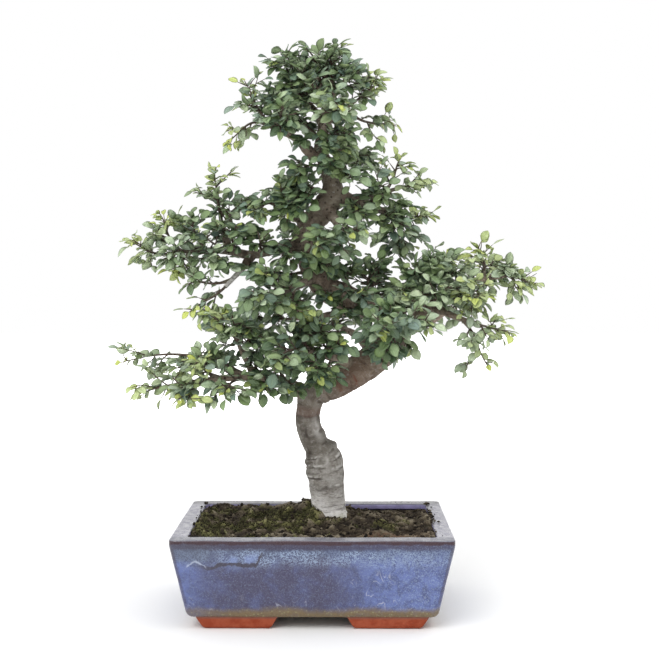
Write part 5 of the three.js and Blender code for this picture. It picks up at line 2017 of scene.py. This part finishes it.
@dataclass
class Foliage:
    """The leafy sprays, each a piece of its own."""

    finishes: Finishes
    wood: Wood
    leaf_length: tuple[float, float] = (9.2, 16.0)
    leaf_width_share: float = 0.69
    side_twigs: int = 12
    leaf_spacing: float = 6.1
    twig_radius: float = 1.5
    tip_radius: float = 0.45
    last_leaf: float = 10.4
    sway: tuple[tuple[float, float], ...] = ((-0.07, 0.07), (-0.07, 0.07), (-0.02, 0.09))
    side_share: float = 0.62
    longest: tuple[float, float] = (42.0, 38.0)
    bare: tuple[float, float, float] = (0.42, 0.22, 0.45)
    crown_middle: float = 10.0
    forked_above: float = 15.0
    fork_shares: tuple[float, float] = (0.38, 0.66)
    fork_length: tuple[float, float] = (7.0, 14.0)
    margin: float = 0.05
    low_corner: Array = field(default_factory=lambda: np.full(3, -1e9))
    high_corner: Array = field(default_factory=lambda: np.full(3, 1e9))

    def blade(self) -> tuple[Array, Array, IntArray, IntArray, Array]:
        """The leaf shape that every leaf is bent from: a closed lens with an ovate outline.

        Returns:
            Each point's share along (u) and across (v, -1 to 1), its side (1 on top, 0 at the
            margin, -1 below), the quads, the triangles, and the half width at each point.
        """
        u = np.array([0.11, 0.30, 0.50, 0.70, 0.88])
        half = np.array([0.20, 0.45, 0.51, 0.44, 0.25])
        v = np.array([-1.0, -0.5, 0.0, 0.5, 1.0])
        rows, columns = len(u), len(v)
        along = np.concatenate([np.repeat(u, columns), [0.0, 1.0], u])
        across = np.concatenate([np.tile(v, rows), [0.0, 0.0], np.zeros(rows)])
        width = np.concatenate([np.repeat(half, columns), [0.0, 0.0], half])
        side = np.concatenate([np.tile([0.0, 1.0, 1.0, 1.0, 0.0], rows), [0.0, 0.0], np.full(rows, -1.0)])
        index = np.arange(rows * columns).reshape(rows, columns)
        base, tip = rows * columns, rows * columns + 1
        under = tip + 1 + np.arange(rows)
        top = Skin.grid(rows, columns, False)
        left = np.stack([index[:-1, 0], index[1:, 0], under[1:], under[:-1]], -1)
        right = np.stack([index[:-1, -1], under[:-1], under[1:], index[1:, -1]], -1)
        start = np.stack([index[0, :-1], np.full(columns - 1, base), index[0, 1:]], -1)
        end = np.stack([index[-1, :-1], index[-1, 1:], np.full(columns - 1, tip)], -1)
        below = np.array([
            [base, index[0, 0], under[0]], [index[0, -1], base, under[0]],
            [index[-1, 0], tip, under[-1]], [tip, index[-1, -1], under[-1]],
        ])
        return (
            np.stack([along, across], -1), side, np.vstack([top, left, right]),
            np.vstack([start, end, below]), width,
        )

    def grown_leaves(
        self, base: Array, way: Array, facing: Array, rng: np.random.Generator, young: Array, bright: float
    ) -> Skin:
        """Bends the blade into leaves.

        A point lies at base + length (u way + v w across) + normal times the lift, where the
        lift is the fold |v| less the bow u^2 plus a ripple, and 0.35 mm less underneath.

        Args:
            base: where each leaf leaves its twig.
            way: the direction that each runs in.
            facing: roughly where its upper side faces.
            rng: draws sizes and bends.
            young: 0 to 1, how new each leaf is.
            bright: how much paler than usual they all are, partly for young growth, partly painted light and
                partly at random.

        Returns:
            The leaves as one skin.
        """
        place, side, quads, triangles, width = self.blade()
        count = len(base)
        across = unit(np.cross(way, facing))
        normal = np.cross(across, way)
        length = rng.uniform(*self.leaf_length, count) * (1.0 - 0.25 * young)
        broad = length * self.leaf_width_share * rng.uniform(0.85, 1.12, count)
        fold = rng.uniform(0.4, 2.2, count)[:, None]
        bow = rng.uniform(0.3, 3.6, count)[:, None]
        ripple = rng.uniform(-0.5, 0.5, count)[:, None]
        u, v = place[None, :, 0], place[None, :, 1]
        lift = fold * np.abs(v) * width[None] * 2 - bow * u**2 + ripple * np.sin(v * 2.5 + u * 7)
        lift = lift + 0.12 * (side == 1)[None] - 0.32 * (side == -1)[None]
        points = (
            base[:, None] + way[:, None] * (u * length[:, None])[..., None]
            + across[:, None] * (v * width[None] * broad[:, None])[..., None]
            + normal[:, None] * lift[..., None]
        )
        low, high = self.low_corner + self.margin, self.high_corner - self.margin
        inside = ((points > low) & (points < high)).all((1, 2))
        points, young = points[inside], young[inside]
        count, size = points.shape[:2]
        marks = {
            "tint": np.repeat((rng.uniform(0, 1, count) + bright).clip(0, 1), size),
            "hue": np.repeat(rng.uniform(0, 1, count), size),
            "young": np.repeat(young, size),
            "under": np.tile((side == -1).astype(float), count),
        }
        return Skin(
            points.reshape(-1, 3), repeated(quads, count, size), repeated(triangles, count, size),
            uv=np.tile(place, (count, 1)), marks=marks, slot=1,
        )

    def axis(self, start: Array, way: Array, tip: Array, stream: SeededStream) -> Path:
        """The spray's main twig: a Bezier curve whose middle corners lie along its ends' directions.

        Args:
            start: where it leaves its branch.
            way: its first direction.
            tip: where its last leaf ends.
            stream: the tree's own numbers, which its sway comes from.

        Returns:
            The twig's line.
        """
        length = math.dist(start, tip)
        chord = (tip - start) / length
        end = start + chord * (length - self.last_leaf)
        sway = np.array([stream.between(*limits) for limits in self.sway]) * length
        reach = length * 0.33
        return Path.bezier(np.array([start, start + way * reach, end - chord * reach + sway, end]))

    @staticmethod
    def sideways(along: Array, roll: Array, spread: Array) -> Array:
        """Directions that leave a twig at the angle spread, turned round it by roll.

        Each is along cos(spread) + level cos(roll) sin(spread) + rise sin(roll) sin(spread).

        Args:
            along: the twig's direction.
            roll: the turn round it, from level.
            spread: the angle away from it.

        Returns:
            Unit vectors.
        """
        steep = np.abs(along[..., 2:3]) > 0.85
        level = unit(np.cross(along, np.where(steep, AHEAD, UP)))
        rise = np.cross(level, along)
        roll, spread = np.asarray(roll)[..., None], np.asarray(spread)[..., None]
        wide = level * np.cos(roll) * np.sin(spread) + rise * np.sin(roll) * np.sin(spread)
        return unit(along * np.cos(spread) + wide)

    def side_lines(
        self, axis: Path, stream: SeededStream, rng: np.random.Generator, fullness: float
    ) -> tuple[Array, Array]:
        """Starts and ends of the side twigs: two drawn with the tree, the others filling in.

        Args:
            axis: the spray's main twig.
            stream: the tree's own numbers.
            rng: draws the twigs that fill in.
            fullness: how many of those there are, 1 being the usual number.

        Returns:
            Starts and ends, twigs by 3.
        """
        drawn = np.array([[stream.between(-0.9, 0.9), stream.between(-0.2, 0.12)] for _ in range(2)])
        extra = max(2, round((self.side_twigs - 2) * fullness))
        filling = np.linspace(0.06, 0.9, extra) + rng.uniform(-0.04, 0.04, extra)
        share = np.concatenate([[0.28, 0.58], filling])
        turned = np.arange(extra) % 2 * np.pi + rng.uniform(-1.2, 1.2, extra) + 0.5
        roll = np.concatenate([[0.0, np.pi] + drawn[:, 0], turned])
        spread = np.concatenate([[0.95, 0.95], rng.uniform(0.75, 1.1, extra)])
        long, filled = (min(axis.length * self.side_share, most) for most in self.longest)
        reach = filled * (1.12 - 0.6 * filling) * min(1.0, 0.5 + 0.5 * fullness)
        length = np.concatenate([long * (1.15 - 0.4 * share[:2]), reach * rng.uniform(0.55, 1.0, extra)])
        drop = np.concatenate([drawn[:, 1], rng.uniform(-0.25, 0.25, extra)])
        start = axis.at(share)
        end = start + self.sideways(axis.along(share), roll, spread) * length[:, None]
        end[:, 2] += drop * length
        return start, end

    def stations(self, lines: Array, first: float, rng: np.random.Generator) -> tuple[Array, Array]:
        """Evenly spaced leaf places along twigs, and the way the twig runs at each.

        Args:
            lines: twigs by stations by 3.
            first: the share of a twig's length that stays bare.
            rng: shifts each place a little.

        Returns:
            Places and directions.
        """
        places, ways = [], []
        for line in lines:
            path = Path(line)
            count = max(2, int(path.length * (1 - first) / self.leaf_spacing) + 1)
            share = np.clip(np.linspace(first, 1.0, count) + rng.uniform(-0.02, 0.02, count), 0, 1)
            places.append(path.at(share))
            ways.append(path.along(share))
        return np.vstack(places), np.vstack(ways)

    def spray(self, seed: int, plan: Spray, young: Young) -> list[Skin]:
        """One spray: its main twig, side twigs, short twigs on those, and leaves along them all.

        Args:
            seed: the spray's place in the tree's list, from 1.
            plan: where it grows.
            young: how much of it is new growth.

        Returns:
            The spray's skins.
        """
        stream, rng = SeededStream(seed), np.random.default_rng(seed)
        start, way, _ = self.wood.plan(plan)
        axis = self.axis(start, way, plan.tip, stream)
        begin, end = self.side_lines(axis, stream, rng, plan.fullness)
        t = np.linspace(0, 1, 7)[None, :, None]
        bend = rng.normal(0, 0.05, (len(begin), 1, 3)) * np.linalg.norm(end - begin, axis=1)[:, None, None]
        sides = begin[:, None] * (1 - t) + end[:, None] * t + bend * np.sin(np.pi * t)
        long = np.linalg.norm(end - begin, axis=1) > self.forked_above
        parent = np.repeat(np.flatnonzero(long), 2)
        fork = np.tile(self.fork_shares, long.sum()) + rng.uniform(-0.08, 0.08, len(parent))
        fork_start = np.array([Path(sides[k]).at(f) for k, f in zip(parent, fork)]).reshape(-1, 3)
        heading = unit(end - begin)[parent]
        roll = np.tile([0.0, math.pi], long.sum()) + rng.uniform(-0.8, 0.8, len(parent))
        fork_way = self.sideways(heading, roll, rng.uniform(0.7, 1.05, len(parent)))
        fork_end = fork_start + fork_way * rng.uniform(*self.fork_length, len(parent))[:, None]
        short = fork_start[:, None] * (1 - t) + fork_end[:, None] * t
        axis_line = axis.at(np.linspace(0, 1, 15))[None]
        twigs = [
            twig_skins(axis_line, np.linspace(self.twig_radius, self.tip_radius, 15), 8),
            twig_skins(sides, np.linspace(0.85, 0.38, 7), 6),
        ]
        groups = [self.stations(axis_line, self.bare[0], rng), self.stations(sides, self.bare[1], rng)]
        if len(short):
            twigs.append(twig_skins(short[:, ::2], np.linspace(0.5, 0.3, 4), 5))
            groups.append(self.stations(short, self.bare[2], rng))
        return twigs + [self.dressed(groups, plan.tip, young, rng)]

    def dressed(
        self, groups: list[tuple[Array, Array]], tip: Array, growth: Young, rng: np.random.Generator
    ) -> Skin:
        """Puts a leaf at every station, alternately left and right, and one at each twig's end.

        Args:
            groups: places and twig directions.
            tip: the spray's tip, near which leaves are younger.
            growth: how many of those are new.
            rng: draws how each leaf stands.

        Returns:
            The leaves.
        """
        place, along = (np.vstack(layer) for layer in zip(*groups))
        count = len(place)
        roll = np.arange(count) % 2 * math.pi + rng.uniform(-0.75, 0.75, count)
        spread = rng.uniform(0.55, 1.15, count)
        step = np.linalg.norm(np.diff(place, axis=0, append=place[-1:] + 99), axis=1)
        ended = step > self.leaf_spacing * 1.9
        spread[ended] = rng.uniform(0.05, 0.4, ended.sum())
        way = self.sideways(along, roll, spread)
        way[:, 2] -= rng.uniform(-0.05, 0.35, count)
        way = unit(way)
        outward = unit(place - np.array([self.crown_middle] * 2 + [place[:, 2].mean() - 30.0]))
        facing = np.stack([
            rng.uniform(-0.7, 0.7, count), rng.uniform(-0.95, 0.35, count), rng.uniform(0.3, 1.0, count),
        ], -1) + 0.35 * outward
        near = smooth_step(58 if growth is Young.TIPS else 32, 8, np.linalg.norm(place - tip, axis=1))
        amount, paler = growth.value
        young = np.where(rng.uniform(0, 1, count) < amount * (0.3 + near), 1.0, 0.0)
        young = young * near * rng.uniform(0.3, 1.0, count)
        # Painted light: sprays towards the crown's sides are paler, and those in its lower middle darker.
        sunlit = 0.05 + 0.80 * smooth_step(70, 180, tip[:1]) + 0.55 * smooth_step(-70, -160, tip[:1])
        sunlit = sunlit - 0.26 * hump(tip[:1], self.crown_middle, 72.0) * float(tip[2] < 480)
        bright = paler + float(sunlit[0]) + rng.uniform(-0.12, 0.16)
        return self.grown_leaves(place, way, facing, rng, young, bright)

    def build(self) -> list[Piece]:
        """Makes every spray.

        Returns:
            The pieces.
        """
        made = []
        looks = [self.finishes.twig, self.finishes.leaf]
        for seed, (name, plan) in enumerate(every_spray().items(), start=1):
            outer = not name.startswith("inner_")
            aside = abs(plan.tip[0] - self.crown_middle)
            ends = aside > 120 or (aside > 60 and plan.tip[2] > 450)
            young = Young.FEW if not outer else Young.TIPS if ends else Young.SOME
            nodes = [f"spray_{name}"] if outer else []
            skins = self.spray(seed, plan, young)
            made.append(self.finishes.piece(f"foliage_{name}", skins, looks, "leaf", *nodes))
        return made


# The studio


@dataclass(frozen=True)
class SoftSun:
    """A broad, even light from far off."""

    name: str
    place: tuple[float, float, float]
    spread: float
    power: float

    def hang(self, target: Vector) -> None:
        """Hangs the light up and turns it.

        Args:
            target: the place that it shines at.
        """
        lamp = bpy.data.lights.new(self.name, "SUN")
        lamp.angle = self.spread
        lamp.energy = self.power
        hung = bpy.data.objects.new(self.name, lamp)
        hung.location = self.place
        hung.rotation_euler = (target - Vector(self.place)).to_track_quat("-Z", "Y").to_euler()
        bpy.context.scene.collection.objects.link(hung)


@dataclass
class Studio:
    """A pale floor, soft lights and the camera at the photograph's angle."""

    origin: Array
    camera_place: tuple[float, float, float] = (28.1, -1267.7, 351.1)
    camera_dip: float = 0.0444
    camera_turn: float = 0.0093
    lens: float = 65.6
    sensor: float = 36.0
    clip: tuple[float, float] = (0.05, 30.0)
    sky: float = 1.0
    lit_height: float = 0.28
    floor_reach: float = 6000.0
    floor_levels: tuple[float, float] = (-20.2, -0.2)
    suns: tuple[SoftSun, ...] = (
        SoftSun("key_light", (-1.0, -1.6, 2.2), 0.6, 1.3),
        SoftSun("top_light", (0.5, -0.1, 2.4), 0.9, 0.9),
    )

    def floor(self) -> None:
        """A wide flat slab just under the feet."""
        x, y = np.array([[-1, 1, 1, -1] * 2, [-1, -1, 1, 1] * 2]) * self.floor_reach
        z = np.repeat(self.floor_levels, 4)
        turn = np.arange(4)
        follow = (turn + 1) % 4
        walls = np.stack([turn, follow, follow + 4, turn + 4], -1)
        quads = np.vstack([walls, [[3, 2, 1, 0]], [[4, 5, 6, 7]]])
        material = PaleFloor().make(self.origin)
        slab = Assembly([Skin(np.stack([x, y, z], -1), quads)]).build("studio_floor", [material], self.origin)
        slab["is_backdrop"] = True

    def light(self) -> None:
        """A bright even sky and the two soft suns."""
        world = bpy.data.worlds.new("studio_sky")
        world.use_nodes = True
        background = world.node_tree.nodes["Background"]
        background.inputs["Color"].default_value = (1.0, 1.0, 1.0, 1.0)
        background.inputs["Strength"].default_value = self.sky
        bpy.context.scene.world = world
        for sun in self.suns:
            sun.hang(Vector((0.0, 0.0, self.lit_height)))

    def camera(self) -> None:
        """The camera, level but for a slight dip, with everything in focus."""
        lens = bpy.data.cameras.new("photo_camera")
        lens.lens = self.lens
        lens.sensor_width = self.sensor
        lens.clip_start, lens.clip_end = self.clip
        stand = bpy.data.objects.new("photo_camera", lens)
        stand.location = Vector(self.origin) + Vector(self.camera_place) * MM
        stand.rotation_euler = (math.pi / 2 - self.camera_dip, 0.0, self.camera_turn)
        bpy.context.scene.collection.objects.link(stand)
        bpy.context.scene.camera = stand

    def build(self) -> None:
        """Sets the whole studio up."""
        self.floor()
        self.light()
        self.camera()
        bpy.context.scene.view_settings.view_transform = "Standard"


def report(name: str, pieces: list[Piece]) -> None:
    """Logs how many faces each piece of an assembly has."""
    for piece in pieces:
        LOG.info("%s: %s, %d faces", name, piece.name, len(piece.data.polygons))


def main() -> None:
    """Builds the plant piece by piece, then the studio."""
    logging.basicConfig(level=logging.INFO, format="%(name)s: %(message)s")
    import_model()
    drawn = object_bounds()
    low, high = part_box("pot")
    middle = (low + high) / 2
    origin = np.array([middle.x, middle.y, 0.0])
    finishes = Finishes(origin)
    pot = Pot(finishes)
    report("pot", pot.build())
    report("screens", DrainScreens(finishes, pot).build())
    report("soil", SoilBed(finishes, pot).build())
    wood = Wood(finishes)
    report("wood", wood.build())
    corners = [(np.array(corner) - origin) / MM for corner in drawn]
    foliage = Foliage(finishes, wood, low_corner=corners[0], high_corner=corners[1])
    report("foliage", foliage.build())
    Studio(origin).build()


if __name__ == "__main__":
    main()
